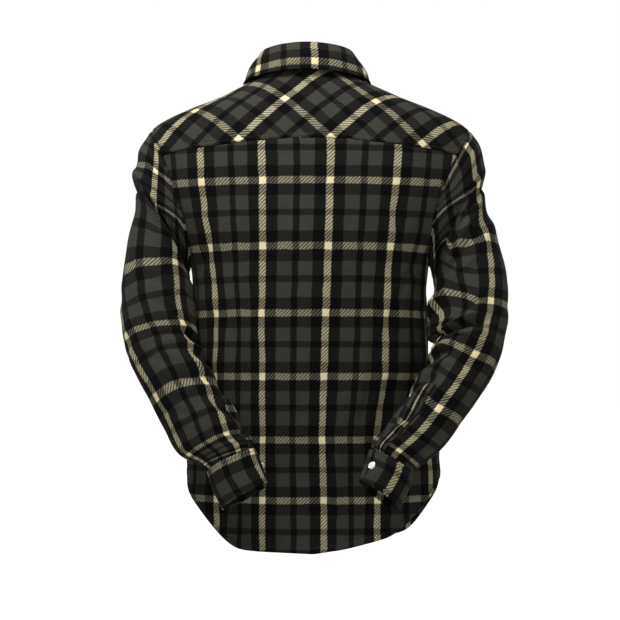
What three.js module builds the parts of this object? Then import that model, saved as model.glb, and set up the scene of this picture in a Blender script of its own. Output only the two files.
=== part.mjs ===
// A checked flannel shirt that keeps the shape of being worn: buttoned to the neck, with both
// arms bent behind the back. Each cut and sewn piece is a thin closed wall of cloth.
// Millimetres, +Z up. The chest faces -Y, the back +Y, and the wearer's left is +X.
// The origin is the middle of the neck opening, level with the shoulders where they meet the neck.
import * as THREE from "three";

// Cloth and sewing
const CLOTH = 2.2; // one layer of thick brushed flannel
const DOUBLED = 3.4; // collar, cuffs and placket, which are two layers
const SEAM_GAP = 0.3; // between two pieces at a seam
const LAP_GAP = 0.5; // between a piece and what it lies over
const CLEAR_SOFTNESS = 5; // how gently cloth that meets the torso is turned aside

// Torso: one row for each level. at is the level's height at the sides; the back and the front of
// the same level stand higher or lower by their lifts, so that the top level is the neckline.
const TORSO = [
  { at: -770, centre: -4, width: 188, back: 88, front: 126, backLift: 0, frontLift: 0, round: 2.2 },
  { at: -640, centre: -4, width: 196, back: 98, front: 133, backLift: 0, frontLift: 0, round: 2.2 },
  { at: -560, centre: -3, width: 193, back: 106, front: 138, backLift: 0, frontLift: 0, round: 2.25 },
  { at: -470, centre: 0, width: 186, back: 116, front: 141, backLift: 0, frontLift: 0, round: 2.3 },
  { at: -380, centre: 2, width: 182, back: 127, front: 145, backLift: 0, frontLift: 0, round: 2.3 },
  { at: -290, centre: 2, width: 184, back: 134, front: 148, backLift: 0, frontLift: 0, round: 2.3 },
  { at: -240, centre: 1, width: 211, back: 136, front: 147, backLift: 0, frontLift: -15, round: 2.3 },
  { at: -180, centre: 0, width: 242, back: 133, front: 141, backLift: 0, frontLift: -40, round: 2.3 },
  { at: -130, centre: 0, width: 252, back: 126, front: 131, backLift: 0, frontLift: -60, round: 2.3 },
  { at: -100, centre: 0, width: 250, back: 118, front: 122, backLift: 0, frontLift: -72, round: 2.25 },
  { at: -82, centre: 1, width: 243, back: 111, front: 116, backLift: 0, frontLift: -77, round: 2.2 },
  { at: -70, centre: 1, width: 226, back: 106, front: 111, backLift: 0, frontLift: -79, round: 2.2 },
  { at: -54, centre: 1, width: 191, back: 98, front: 104, backLift: 0, frontLift: -80, round: 2.2 },
  { at: -38, centre: 1, width: 150, back: 88, front: 96, backLift: 0, frontLift: -80, round: 2.15 },
  { at: -22, centre: 3, width: 116, back: 77, front: 87, backLift: 1, frontLift: -78, round: 2.1 },
  { at: -12, centre: 5, width: 96, back: 69, front: 81, backLift: 2, frontLift: -76, round: 2.05 },
  { at: 0, centre: 6, width: 70, back: 60, front: 72, backLift: 3, frontLift: -72, round: 2 },
];

// Soft folds down the torso: a trough (depth below 0) or a ridge that runs between two levels.
const TORSO_FOLDS = [
  { angle: 48, lean: -4, low: -600, high: -330, depth: -5, width: 16 },
  { angle: 36, lean: 3, low: -640, high: -380, depth: 5, width: 20 },
  { angle: 140, lean: 4, low: -620, high: -400, depth: -4, width: 18 },
  { angle: 20, lean: 0, low: -650, high: -420, depth: -6, width: 22 },
  { angle: 160, lean: 0, low: -650, high: -430, depth: -6, width: 22 },
  { angle: -35, lean: 6, low: -700, high: -320, depth: 6, width: 24 },
  { angle: -55, lean: 4, low: -720, high: -420, depth: -6, width: 22 },
  { angle: 215, lean: -6, low: -700, high: -320, depth: 6, width: 24 },
  { angle: 235, lean: -4, low: -720, high: -440, depth: -6, width: 22 },
  { angle: -28, lean: -10, low: -330, high: -190, depth: -5, width: 18 },
  { angle: 208, lean: 10, low: -330, high: -190, depth: -5, width: 18 },
];

// Levels and angles of the seams
const HEM_SIDE = -611; // where the side seams end
const HEM_FRONT = -722;
// How far the hem is below the side seams' ends, by the angle round the body from the side
const HEM_DROP = [
  { at: 0, drop: 0, rightDrop: 0 },
  { at: 8, drop: 26, rightDrop: 14 },
  { at: 18, drop: 59, rightDrop: 42 },
  { at: 25, drop: 87, rightDrop: 69 },
  { at: 31, drop: 104, rightDrop: 85 },
  { at: 37, drop: 111, rightDrop: 94 },
  { at: 60, drop: 114, rightDrop: 108 },
  { at: 90, drop: 116, rightDrop: 116 },
];
const YOKE_BACK = -112; // back yoke seam, at the middle of the back
const YOKE_NECK_ANGLE = -32; // where the front yoke seam meets the neckline, from the side
const UNDERARM_STEP = 6;
const BACK_YOKE_STEP = 2;
const FRONT_YOKE_STEP = 11;

// Left armhole, round from the shoulder point over the back and the underarm to the front:
// the angle from the side and the level on the torso. The right one differs only where it says so.
const ARMHOLE = [
  { angle: 0, level: -82 },
  { angle: 9, level: -98 },
  { angle: 17, level: -131, rightAngle: 18 },
  { angle: 20.5, level: -180, rightAngle: 24 },
  { angle: 21.5, level: -235, rightAngle: 24 },
  { angle: 15, level: -277 },
  { angle: 0, level: -292 },
  { angle: -15, level: -277 },
  { angle: -24, level: -235 },
  { angle: -24, level: -180 },
  { angle: -18, level: -130 },
  { angle: -9.5, level: -97 },
];

// Sleeves: one row for each section from the shoulder down. outer and inner are the two edges that
// show from behind, y is the depth of the section's middle, and deep is half of its depth.
const LEFT_SLEEVE = [
  { outerX: 273, outerZ: -160, innerX: 188, innerZ: -299, y: 4, deep: 76 },
  { outerX: 268, outerZ: -198, innerX: 186, innerZ: -318, y: 15, deep: 68 },
  { outerX: 279, outerZ: -258, innerX: 184, innerZ: -338, y: 32, deep: 62 },
  { outerX: 285, outerZ: -320, innerX: 180, innerZ: -368, y: 51, deep: 59 },
  { outerX: 284, outerZ: -372, innerX: 174, innerZ: -398, y: 68, deep: 57 },
  { outerX: 279, outerZ: -412, innerX: 166, innerZ: -420, y: 80, deep: 56 },
  { outerX: 265, outerZ: -450, innerX: 154, innerZ: -440, y: 92, deep: 54 },
  { outerX: 239, outerZ: -496, innerX: 136, innerZ: -480, y: 108, deep: 50 },
  { outerX: 214, outerZ: -540, innerX: 113, innerZ: -518, y: 123, deep: 46 },
  { outerX: 192, outerZ: -577, innerX: 97, innerZ: -548, y: 135, deep: 40 },
  { outerX: 160, outerZ: -590, innerX: 88, innerZ: -557, y: 142, deep: 34 },
];
const RIGHT_SLEEVE = [
  { outerX: -268, outerZ: -150, innerX: -188, innerZ: -298, y: 4, deep: 76 },
  { outerX: -264, outerZ: -188, innerX: -188, innerZ: -316, y: 14, deep: 68 },
  { outerX: -281, outerZ: -245, innerX: -189, innerZ: -338, y: 28, deep: 62 },
  { outerX: -296, outerZ: -308, innerX: -191, innerZ: -366, y: 46, deep: 59 },
  { outerX: -297, outerZ: -366, innerX: -191, innerZ: -392, y: 63, deep: 57 },
  { outerX: -290, outerZ: -402, innerX: -188, innerZ: -411, y: 75, deep: 55 },
  { outerX: -280, outerZ: -438, innerX: -180, innerZ: -430, y: 87, deep: 53 },
  { outerX: -256, outerZ: -482, innerX: -163, innerZ: -462, y: 104, deep: 49 },
  { outerX: -224, outerZ: -526, innerX: -140, innerZ: -494, y: 120, deep: 45 },
  { outerX: -190, outerZ: -568, innerX: -110, innerZ: -534, y: 134, deep: 40 },
  { outerX: -157, outerZ: -594, innerX: -89, innerZ: -557, y: 142, deep: 34 },
];

// Sleeve creases: each runs from one place to another, given as a turn (degrees round from the
// outer edge towards the back) and a row of the table. depth is the trough, and beside is how far
// the cloth bulges on its upper side.
const LEFT_CREASES = [
  { turn: -40, row: 0.5, toTurn: 32, toRow: 0.5, depth: 13, width: 11, beside: 5 },
  { turn: 52, row: 0.45, toTurn: 104, toRow: 0.35, depth: 11, width: 10, beside: 6 },
  { turn: 122, row: 0.4, toTurn: 165, toRow: 0.6, depth: 7, width: 10, beside: 3 },
  { turn: -30, row: -0.35, toTurn: 45, toRow: -0.6, depth: 6, width: 10, beside: 1 },
  { turn: 150, row: 4.6, toTurn: 205, toRow: 5.0, depth: 9, width: 14, beside: 5 },
  { turn: 155, row: 5.9, toTurn: 210, toRow: 6.2, depth: 8, width: 13, beside: 4 },
  { turn: 140, row: 7.6, toTurn: 190, toRow: 8.8, depth: 5, width: 12, beside: 3 },
  { turn: 250, row: 4.2, toTurn: 300, toRow: 5.6, depth: 5, width: 15, beside: 3 },
  { turn: 165, row: 2, toTurn: 180, toRow: 3.4, depth: -6, width: 17, beside: 0 },
];
const RIGHT_CREASES = [
  { turn: -5, row: 1.35, toTurn: 110, toRow: 2.1, depth: 7, width: 12, beside: 6 },
  { turn: 10, row: 0.7, toTurn: 80, toRow: 1.1, depth: 6, width: 13, beside: 5 },
  { turn: 95, row: 4.9, toTurn: 200, toRow: 4.9, depth: 12, width: 14, beside: 8 },
  { turn: 140, row: 6.3, toTurn: 200, toRow: 6.6, depth: 9, width: 12, beside: 6 },
  { turn: 130, row: 7.3, toTurn: 185, toRow: 7.9, depth: 7, width: 11, beside: 4 },
  { turn: 110, row: 8.3, toTurn: 165, toRow: 9.3, depth: 5, width: 11, beside: 2 },
  { turn: 155, row: 2.9, toTurn: 180, toRow: 4.1, depth: -8, width: 17, beside: 0 },
];
const ROW_STEP = 45; // about how far apart the rows of a sleeve are, to measure a crease by
const TURN_RADIUS = 58; // about a sleeve's radius, for the same

// Collar
const STAND_HEIGHT = 34;
const STAND_FRONT_HEIGHT = 30;
const STAND_LEAN = 5; // how far the stand's top lies inside its foot
// The leaf's outer edge: the angle round the neck, how far out of the neckline, and its height
const LEAF_EDGE = [
  { at: -77, edge: -62, out: 46, height: -108 },
  { at: -62, edge: -50, out: 42, height: -82 },
  { at: -44, edge: -38, out: 36, height: -50 },
  { at: -20, edge: -18, out: 32, height: -24 },
  { at: 5, edge: 4, out: 29, height: -10 },
  { at: 40, edge: 40, out: 22, height: -3 },
  { at: 90, edge: 90, out: 18, height: 1 },
];
const LEAF_ROLL = 4.6; // radius of the fold over the stand

// Cuffs: the two rings of each, as for the sleeves, and the lap of the ends
const LEFT_CUFF = [
  { outerX: 151, outerZ: -601, innerX: 84, innerZ: -569, y: 145, deep: 31 },
  { outerX: 141, outerZ: -628, innerX: 74, innerZ: -593, y: 151, deep: 31 },
  { outerX: 128, outerZ: -655, innerX: 64, innerZ: -618, y: 157, deep: 30 },
];
const RIGHT_CUFF = [
  { outerX: -149, outerZ: -606, innerX: -84, innerZ: -569, y: 145, deep: 31 },
  { outerX: -139, outerZ: -631, innerX: -77, innerZ: -590, y: 151, deep: 31 },
  { outerX: -127, outerZ: -657, innerX: -69, innerZ: -612, y: 157, deep: 30 },
];

const TUCK_INWARDS = DOUBLED + LAP_GAP + 0.4; // how much smaller the sleeve's end is than the cuff
const TUCK_ROWS = [-1, 4]; // where the sleeve's last sections are, from the cuff's edge down

// Front edge
const PLACKET_HALF = 17;
const PLACKET_PROUD = 1.2; // how far the placket stands out of the front
const UNDERLAP_REACH = 13; // how far the right front goes on under the placket
const UNDERLAP_START = 56; // where it begins to sink, from the middle
const UNDERLAP_FULL = 27; // where it has sunk

// Snaps
const SNAP_RADIUS = 5.9;
const SNAP_THICK = 2.4;
const SNAP_FIRST = -150; // height of the first one below the collar
const SNAP_STEP = 83;
const SNAP_COUNT = 7;

const deg = THREE.MathUtils.degToRad;
const lerp = THREE.MathUtils.lerp;
const smooth = (t) => THREE.MathUtils.smoothstep(t, 0, 1);
const vec = (x, y, z) => new THREE.Vector3(x, y, z);

// A smooth function through a column of a table whose rows are in order of at.
function column(table, key) {
  const at = table.map((row) => row.at);
  const value = table.map((row) => row[key]);
  const last = at.length - 1;
  const slope = value.map((_, i) => {
    const a = Math.max(0, i - 1);
    const b = Math.min(last, i + 1);
    return (value[b] - value[a]) / (at[b] - at[a]);
  });
  return (t) => {
    let i = 0;
    while (i < last - 1 && t > at[i + 1]) i++;
    const span = at[i + 1] - at[i];
    const s = THREE.MathUtils.clamp((t - at[i]) / span, 0, 1);
    const rise = s * s * (3 - 2 * s);
    const bend = span * (s * (1 - s) * ((1 - s) * slope[i] - s * slope[i + 1]));
    return lerp(value[i], value[i + 1], rise) + bend;
  };
}

const torsoColumns = {};
for (const key of Object.keys(TORSO[0])) torsoColumns[key] = column(TORSO, key);

function torsoFold(angle, level) {
  let total = 0;
  for (const fold of TORSO_FOLDS) {
    const along = (level - fold.low) / (fold.high - fold.low);
    if (along <= 0 || along >= 1) continue;
    const middle = fold.angle + fold.lean * (along - 0.5);
    const away = deg(angle - middle) * 150;
    total += fold.depth * Math.sin(Math.PI * along) ** 2 * Math.exp(-((away / fold.width) ** 2));
  }
  return total;
}

// The torso's outer surface at an angle round it (0 the left side, 90 the back) and a level.
function torsoPoint(angle, level) {
  const row = {};
  for (const key of Object.keys(torsoColumns)) row[key] = torsoColumns[key](level);
  const c = Math.cos(deg(angle));
  const s = Math.sin(deg(angle));
  const depth = s > 0 ? row.back : row.front;
  const lift = s > 0 ? row.backLift : row.frontLift;
  const power = row.round;
  const sum = (Math.abs(c) / row.width) ** power + (Math.abs(s) / depth) ** power;
  const radius = sum ** (-1 / power) + torsoFold(angle, level);
  return vec(row.centre + radius * c, radius * s, level + lift * s * s);
}

// How far a level of the torso is out from its middle at an angle.
function torsoReach(angle, level) {
  const p = torsoPoint(angle, level);
  return Math.hypot(p.x - torsoColumns.centre(level), p.y);
}

// Moves a point that would be in the torso's wall out to just clear of it.
function clearOfTorso(p, clear) {
  const centre = torsoColumns.centre(p.z);
  const angle = THREE.MathUtils.radToDeg(Math.atan2(p.y, p.x - centre));
  const reach = torsoReach(angle, p.z);
  const own = Math.hypot(p.x - centre, p.y);
  const past = own - reach - clear;
  if (past > CLEAR_SOFTNESS) return p;
  const soft = CLEAR_SOFTNESS * Math.exp(past / CLEAR_SOFTNESS - 1);
  const scale = (reach + clear + soft) / own;
  return vec(centre + (p.x - centre) * scale, p.y * scale, p.z);
}

// The height of the torso under or over a point that is outside the neckline.
function torsoHeight(x, y) {
  let low = -150;
  let high = 0;
  for (let i = 0; i < 24; i++) {
    const level = (low + high) / 2;
    const across = x - torsoColumns.centre(level);
    const angle = THREE.MathUtils.radToDeg(Math.atan2(y, across));
    if (torsoReach(angle, level) > Math.hypot(across, y)) low = level;
    else high = level;
  }
  const across = x - torsoColumns.centre(low);
  return torsoPoint(THREE.MathUtils.radToDeg(Math.atan2(y, across)), low).z;
}

// The angle of the front's surface at a distance x from the middle, at a level.
function frontAngle(x, level) {
  const width = torsoColumns.width(level);
  const power = torsoColumns.round(level);
  const across = x - torsoColumns.centre(level);
  const y = torsoColumns.front(level) * (1 - Math.abs(across / width) ** power) ** (1 / power);
  return -THREE.MathUtils.radToDeg(Math.atan2(y, across));
}

// Places on the torso are flat vectors of an angle and a level.
const place = (angle, level) => new THREE.Vector2(angle, level);
const onTorso = (p) => torsoPoint(p.x, p.y);

// The level of the hem at an angle. The front tails are alike, and a little shorter.
const hemDrop = column(HEM_DROP, "drop");
const hemRightDrop = column(HEM_DROP, "rightDrop");
function hemLevel(angle) {
  const turn = THREE.MathUtils.radToDeg(Math.abs(Math.asin(Math.sin(deg(angle)))));
  if (Math.sin(deg(angle)) < 0) return lerp(HEM_SIDE, HEM_FRONT, hemDrop(turn) / hemDrop(90));
  return HEM_SIDE - (Math.cos(deg(angle)) > 0 ? hemDrop(turn) : hemRightDrop(turn));
}

// A smooth line through the middle two of four values.
const spline = ([a, b, c, d], t) =>
  0.5 * (2 * b + (c - a) * t + (2 * a - 5 * b + 4 * c - d) * t ** 2 + (3 * b - a - 3 * c + d) * t ** 3);

// A place on an armhole; step runs from 0 to 12 round it. side is 1 for left and -1 for right.
function armholePlace(step, side) {
  const count = ARMHOLE.length;
  const row = (i) => ARMHOLE[(i + count) % count];
  const angle = (r) => (side < 0 && r.rightAngle !== undefined ? r.rightAngle : r.angle);
  const i = Math.floor(step);
  const t = step - i;
  const pick = (get) => spline([i - 1, i, i + 1, i + 2].map((k) => get(row(k))), t);
  const turn = pick(angle);
  return place(side > 0 ? turn : 180 - turn, pick((r) => r.level));
}

// A patch of places between four edges: left and right are functions of v, bottom and top of u.
function patch(left, right, bottom, top) {
  return (u, v) => {
    const sides = left(v).lerp(right(v), u);
    const ends = bottom(u).lerp(top(u), v);
    const corners = left(0).lerp(right(0), u).lerp(left(1).lerp(right(1), u), v);
    return sides.add(ends).sub(corners);
  };
}

// A grid of points from a function of u and v, at the stated shares of each.
const spread = (count) => Array.from({ length: count + 1 }, (_, i) => i / count);
const grid = (us, vs, at) => vs.map((v) => us.map((u) => at(u, v)));

// Unit normals of a grid of points; round says that the last column joins the first.
function normals(points, round = false) {
  const rows = points.length;
  const cols = points[0].length;
  return points.map((line, j) =>
    line.map((_, i) => {
      const east = round ? line[(i + 1) % cols] : line[Math.min(cols - 1, i + 1)];
      const west = round ? line[(i + cols - 1) % cols] : line[Math.max(0, i - 1)];
      const north = points[Math.min(rows - 1, j + 1)][i];
      const south = points[Math.max(0, j - 1)][i];
      return east.clone().sub(west).cross(north.clone().sub(south)).normalize();
    }),
  );
}

// A closed wall between two grids of points, the outer face and the inner one. The columns run
// to the right as seen from outside and the rows upwards.
function between(outer, inner, round = false) {
  const rows = outer.length;
  const cols = outer[0].length;
  const position = [...outer.flat(), ...inner.flat()].flatMap((p) => [p.x, p.y, p.z]);
  const back = rows * cols;
  const index = [];
  const quad = (a, b, c, d) => index.push(a, b, c, a, c, d);
  const id = (i, j) => j * cols + (i % cols);
  const spans = round ? cols : cols - 1;
  for (let j = 0; j < rows - 1; j++)
    for (let i = 0; i < spans; i++) {
      quad(id(i, j), id(i + 1, j), id(i + 1, j + 1), id(i, j + 1));
      quad(back + id(i, j), back + id(i, j + 1), back + id(i + 1, j + 1), back + id(i + 1, j));
    }
  const top = rows - 1;
  for (let i = 0; i < spans; i++) {
    quad(id(i + 1, 0), id(i, 0), back + id(i, 0), back + id(i + 1, 0));
    quad(id(i, top), id(i + 1, top), back + id(i + 1, top), back + id(i, top));
  }
  const last = cols - 1;
  for (let j = 0; j < rows - 1 && !round; j++) {
    quad(id(0, j), id(0, j + 1), back + id(0, j + 1), back + id(0, j));
    quad(id(last, j + 1), id(last, j), back + id(last, j), back + id(last, j + 1));
  }
  const geometry = new THREE.BufferGeometry();
  geometry.setAttribute("position", new THREE.Float32BufferAttribute(position, 3));
  geometry.setIndex(index);
  return geometry;
}

// A grid of points moved along its normals.
const moved = (points, normal, by) =>
  points.map((line, j) => line.map((p, i) => p.clone().addScaledVector(normal[j][i], by)));

const shirt = new THREE.Group();
const flannel = () => new THREE.MeshStandardMaterial({ color: 0x2b2a28, roughness: 0.95, metalness: 0 });
const pearl = () => new THREE.MeshStandardMaterial({ color: 0xf0eee6, roughness: 0.25, metalness: 0 });

function add(name, geometry, material = flannel()) {
  geometry.computeVertexNormals();
  const mesh = new THREE.Mesh(geometry, material);
  mesh.name = name;
  shirt.add(mesh);
  return mesh;
}

// Half a seam's gap, as an angle on the torso.
const GAP_ANGLE = THREE.MathUtils.radToDeg(SEAM_GAP / 2 / 125);

// The torso's outward normal at a place.
function torsoNormal(angle, level) {
  const step = 0.4;
  const low = Math.min(level, -step);
  const across = torsoPoint(angle + step, low).sub(torsoPoint(angle - step, low));
  const up = torsoPoint(angle, low + step).sub(torsoPoint(angle, low - step));
  return across.cross(up).normalize();
}

// A panel of the torso: at gives a place for u and v, and proud how far out of the surface it lies.
function panel(name, at, us, vs, { thick = CLOTH, proud = () => 0 } = {}) {
  const places = grid(us, vs, at);
  const normal = places.map((line) => line.map((p) => torsoNormal(p.x, p.y)));
  const outer = places.map((line, j) =>
    line.map((p, i) => onTorso(p).addScaledVector(normal[j][i], proud(p))),
  );
  add(name, between(outer, moved(outer, normal, -thick)));
}

// Up a side seam and round the armhole to a step of it. towards is 1 for the back panel, which
// lies at larger angles than the left side seam, and -1 for a front.
const SEAM_SHARE = 0.62;
function sideEdge(side, endStep) {
  const towards = endStep < UNDERARM_STEP ? 1 : -1;
  const mirrored = (turn, level) => place(side > 0 ? turn : 180 - turn, level);
  return (v) => {
    const up = v / SEAM_SHARE;
    if (up < 1) return mirrored(towards * GAP_ANGLE, lerp(HEM_SIDE, ARMHOLE[UNDERARM_STEP].level, up));
    const step = lerp(UNDERARM_STEP, endStep, (v - SEAM_SHARE) / (1 - SEAM_SHARE));
    const p = armholePlace(step, side);
    const turn = side > 0 ? p.x : 180 - p.x;
    return mirrored(towards * Math.max(towards * turn, GAP_ANGLE), p.y);
  };
}

// Shares of the way up a panel: even up the side seam, and closer round the underarm.
const SEAM_ROWS = 9;
const upShares = (steps, count) => [
  ...spread(SEAM_ROWS).map((t) => t * SEAM_SHARE),
  ...steps.map((t) => SEAM_SHARE + ((1 - SEAM_SHARE) * t) / count),
];
const halves = (count) => Array.from({ length: 2 * count }, (_, i) => (i + 1) / 2);
const BACK_SHARES = upShares(halves(4), 4);
const FRONT_SHARES = upShares(halves(5), 5);

// The back yoke seam from the right armhole to the left one.
function backSeam(u) {
  const right = armholePlace(BACK_YOKE_STEP, -1);
  const left = armholePlace(BACK_YOKE_STEP, 1);
  const ends = lerp(right.y, left.y, u);
  return place(lerp(right.x, left.x, u), lerp(ends, YOKE_BACK, Math.sin(Math.PI * u) ** 0.8));
}

const below = place(0, -SEAM_GAP / 2);
const above = place(0, SEAM_GAP / 2);

function backHem(u) {
  const angle = lerp(180 - GAP_ANGLE, GAP_ANGLE, u);
  return place(angle, hemLevel(angle));
}
const backAt = patch(
  (v) => sideEdge(-1, BACK_YOKE_STEP)(v).addScaledVector(below, v),
  (v) => sideEdge(1, BACK_YOKE_STEP)(v).addScaledVector(below, v),
  backHem,
  (u) => backSeam(u).add(below),
);
const BACK_COLUMNS = 20;
panel("back", (u, v) => backAt(1 - u, v), spread(BACK_COLUMNS), BACK_SHARES);

// The yoke, from the left front seam (u 0) over the left shoulder, round the back and over the
// right shoulder. Its outer edge follows the armholes and the back seam, its inner one the neck.
const YOKE_OUTER = [
  { at: 0, step: -1, neck: YOKE_NECK_ANGLE },
  { at: 0.09, step: 0, neck: 4 },
  { at: 0.2, step: BACK_YOKE_STEP, neck: 34 },
];
function yokeOuter(u) {
  const side = u < 0.5 ? 1 : -1;
  const share = Math.min(u, 1 - u);
  const corner = YOKE_OUTER[2].at;
  if (share <= corner) {
    const middle = YOKE_OUTER[1].at;
    const step =
      share < middle ? share / middle - 1 : ((share - middle) / (corner - middle)) * BACK_YOKE_STEP;
    return armholePlace(step, side);
  }
  return backSeam(1 - (u - corner) / (1 - 2 * corner)).add(above);
}
function yokeNeck(u) {
  const side = u < 0.5 ? 1 : -1;
  const share = Math.min(u, 1 - u);
  const [front, top, corner] = YOKE_OUTER;
  const turn =
    share < top.at
      ? lerp(front.neck, top.neck, share / top.at)
      : share < corner.at
        ? lerp(top.neck, corner.neck, (share - top.at) / (corner.at - top.at))
        : lerp(corner.neck, 90, (share - corner.at) / (0.5 - corner.at));
  return place(side > 0 ? turn : 180 - turn, 0);
}
// A front yoke seam runs from the armhole to the neck; gap moves it off the seam line.
function frontSeam(t, side, gap) {
  const neck = place(side > 0 ? YOKE_NECK_ANGLE : 180 - YOKE_NECK_ANGLE, 0);
  const p = armholePlace(FRONT_YOKE_STEP, side).lerp(neck, t);
  const turn = THREE.MathUtils.radToDeg((1.4 * gap) / lerp(150, 70, t));
  return p.add(place(side * turn, gap * 0.5 * (1 - t)));
}
const YOKE_END = [0, 0.045, 0.09, 0.1175, 0.145, 0.1725];
const yokeUs = [
  ...YOKE_END,
  ...spread(BACK_COLUMNS).map((t) => lerp(0.2, 0.8, t)),
  ...YOKE_END.toReversed().map((u) => 1 - u),
];
function yokeAt(u, v) {
  if (u === 0) return frontSeam(v, 1, SEAM_GAP / 2);
  if (u === 1) return frontSeam(v, -1, SEAM_GAP / 2);
  return yokeOuter(u).lerp(yokeNeck(u), v);
}
const FRONT_SEAM_COLUMNS = 5;
panel("yoke", yokeAt, yokeUs, spread(FRONT_SEAM_COLUMNS));

// The level of the front edge at a share of the way up, closer together towards the neck.
const frontLevel = (v) => lerp(HEM_FRONT, 0, v ** 1.2);

// The fronts. Each runs from its side to an edge at a distance x from the middle.
function frontPanel(name, side, reach, sink) {
  const edge = (level) => {
    const x = side * reach;
    const angle = frontAngle(x, level);
    return place(side > 0 ? angle : angle + 360, level);
  };
  const hemAngle = (t) => lerp(side > 0 ? -GAP_ANGLE : 180 + GAP_ANGLE, edge(HEM_FRONT).x, t);
  const hem = (t) => place(hemAngle(t), hemLevel(hemAngle(t)));
  const seamPart = 0.5;
  const top = (t) => {
    if (t < seamPart) return frontSeam(t / seamPart, side, -SEAM_GAP / 2);
    const from = frontSeam(1, side, -SEAM_GAP / 2);
    const along = (t - seamPart) / (1 - seamPart);
    return place(lerp(from.x, edge(0).x, along), 0);
  };
  const outside = (v) =>
    v < 1 ? sideEdge(side, FRONT_YOKE_STEP)(v) : frontSeam(0, side, -SEAM_GAP / 2);
  const at = patch(outside, (v) => edge(frontLevel(v)), hem, top);
  const us = [0, 0.1, 0.2, 0.3, 0.4, 0.5, 0.58, 0.66, 0.74, 0.82, 0.88, 0.94, 1];
  const proud = (p) => sink(torsoPoint(p.x, p.y).x);
  panel(name, (u, v) => at(side > 0 ? 1 - u : u, v), us, FRONT_SHARES, { proud });
}
const sunk = (x) => {
  const most = DOUBLED + LAP_GAP - PLACKET_PROUD;
  return -most * smooth((x + UNDERLAP_START) / (UNDERLAP_START - UNDERLAP_FULL));
};
frontPanel("front_left", 1, PLACKET_HALF + SEAM_GAP, () => 0);
frontPanel("front_right", -1, -UNDERLAP_REACH, sunk);

// The placket runs down the front edge of the left front.
const placketAt = (u, v) => {
  const x = lerp(-PLACKET_HALF, PLACKET_HALF, u);
  const level = frontLevel(v);
  return place(frontAngle(x, level), level);
};
panel("placket", placketAt, spread(4), FRONT_SHARES, { thick: DOUBLED, proud: () => PLACKET_PROUD });

// A smooth line through points, at a share of the way that runs from 0 to their count less 1.
function through(points, t) {
  const last = points.length - 1;
  const i = Math.min(Math.floor(t), last - 1);
  const at = (k) =>
    k < 0
      ? points[0].clone().multiplyScalar(2).sub(points[1])
      : k > last
        ? points[last].clone().multiplyScalar(2).sub(points[last - 1])
        : points[k];
  const near = [i - 1, i, i + 1, i + 2].map(at);
  const [x, y, z] = ["x", "y", "z"].map((key) => spline(near.map((p) => p[key]), t - i));
  return vec(x, y, z);
}

// A section of a sleeve or a cuff: its middle, and its two half axes, outwards and to the back.
function section(rows, i) {
  const middle = (r) => vec((r.outerX + r.innerX) / 2, r.y, (r.outerZ + r.innerZ) / 2);
  const row = rows[i];
  const outwards = vec(row.outerX - row.innerX, 0, row.outerZ - row.innerZ).multiplyScalar(0.5);
  const next = middle(rows[Math.min(rows.length - 1, i + 1)]);
  const along = next.sub(middle(rows[Math.max(0, i - 1)])).normalize();
  const backwards = vec(0, 1, 0).addScaledVector(along, -along.y);
  return { middle: middle(row), outwards, backwards: backwards.setLength(row.deep) };
}
function sectionPoint({ middle, outwards, backwards }, turn) {
  return middle
    .clone()
    .addScaledVector(outwards, Math.cos(deg(turn)))
    .addScaledVector(backwards, Math.sin(deg(turn)));
}

// A sleeve's sections with its end tucked into the cuff.
function tucked(sleeveRows, cuffRows) {
  const first = cuffRows[0];
  const last = cuffRows.at(-1);
  const middle = (r) => vec((r.outerX + r.innerX) / 2, r.y, (r.outerZ + r.innerZ) / 2);
  const down = middle(last).sub(middle(first)).normalize();
  const across = vec(first.outerX - first.innerX, 0, first.outerZ - first.innerZ).setLength(TUCK_INWARDS);
  const ends = TUCK_ROWS.map((by) => ({
    outerX: first.outerX - across.x + down.x * by,
    outerZ: first.outerZ - across.z + down.z * by,
    innerX: first.innerX + across.x + down.x * by,
    innerZ: first.innerZ + across.z + down.z * by,
    y: first.y + down.y * by,
    deep: first.deep - TUCK_INWARDS,
  }));
  return [...sleeveRows, ...ends];
}

// The armhole as the sleeve meets it, just inside the torso panels' edge.
const ARMHOLE_MIDDLE = place(0, -190);
const ARMHOLE_PULL = 0.008;
const TURN_STEP = 30;
function armholeSeam(turn, side) {
  const middle = place(side > 0 ? ARMHOLE_MIDDLE.x : 180, ARMHOLE_MIDDLE.y);
  return armholePlace(turn / TURN_STEP, side).lerp(middle, ARMHOLE_PULL);
}

// Which way the sleeve's wall faces at the armhole: as the torso does at the shoulder, and down at
// the underarm, where the sleeve turns back on the body.
const UNDERARM_TILT = 84;
function armholeNormal(turn, side) {
  const seam = armholeSeam(turn, side);
  const middle = place(side > 0 ? ARMHOLE_MIDDLE.x : 180, ARMHOLE_MIDDLE.y);
  const inside = onTorso(seam.clone().lerp(middle, 0.05)).sub(onTorso(seam)).normalize();
  const tilt = deg(UNDERARM_TILT * (0.5 - 0.5 * Math.cos(deg(turn))) ** 1.2);
  return torsoNormal(seam.x, seam.y).multiplyScalar(Math.cos(tilt)).addScaledVector(inside, -Math.sin(tilt));
}

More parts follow.
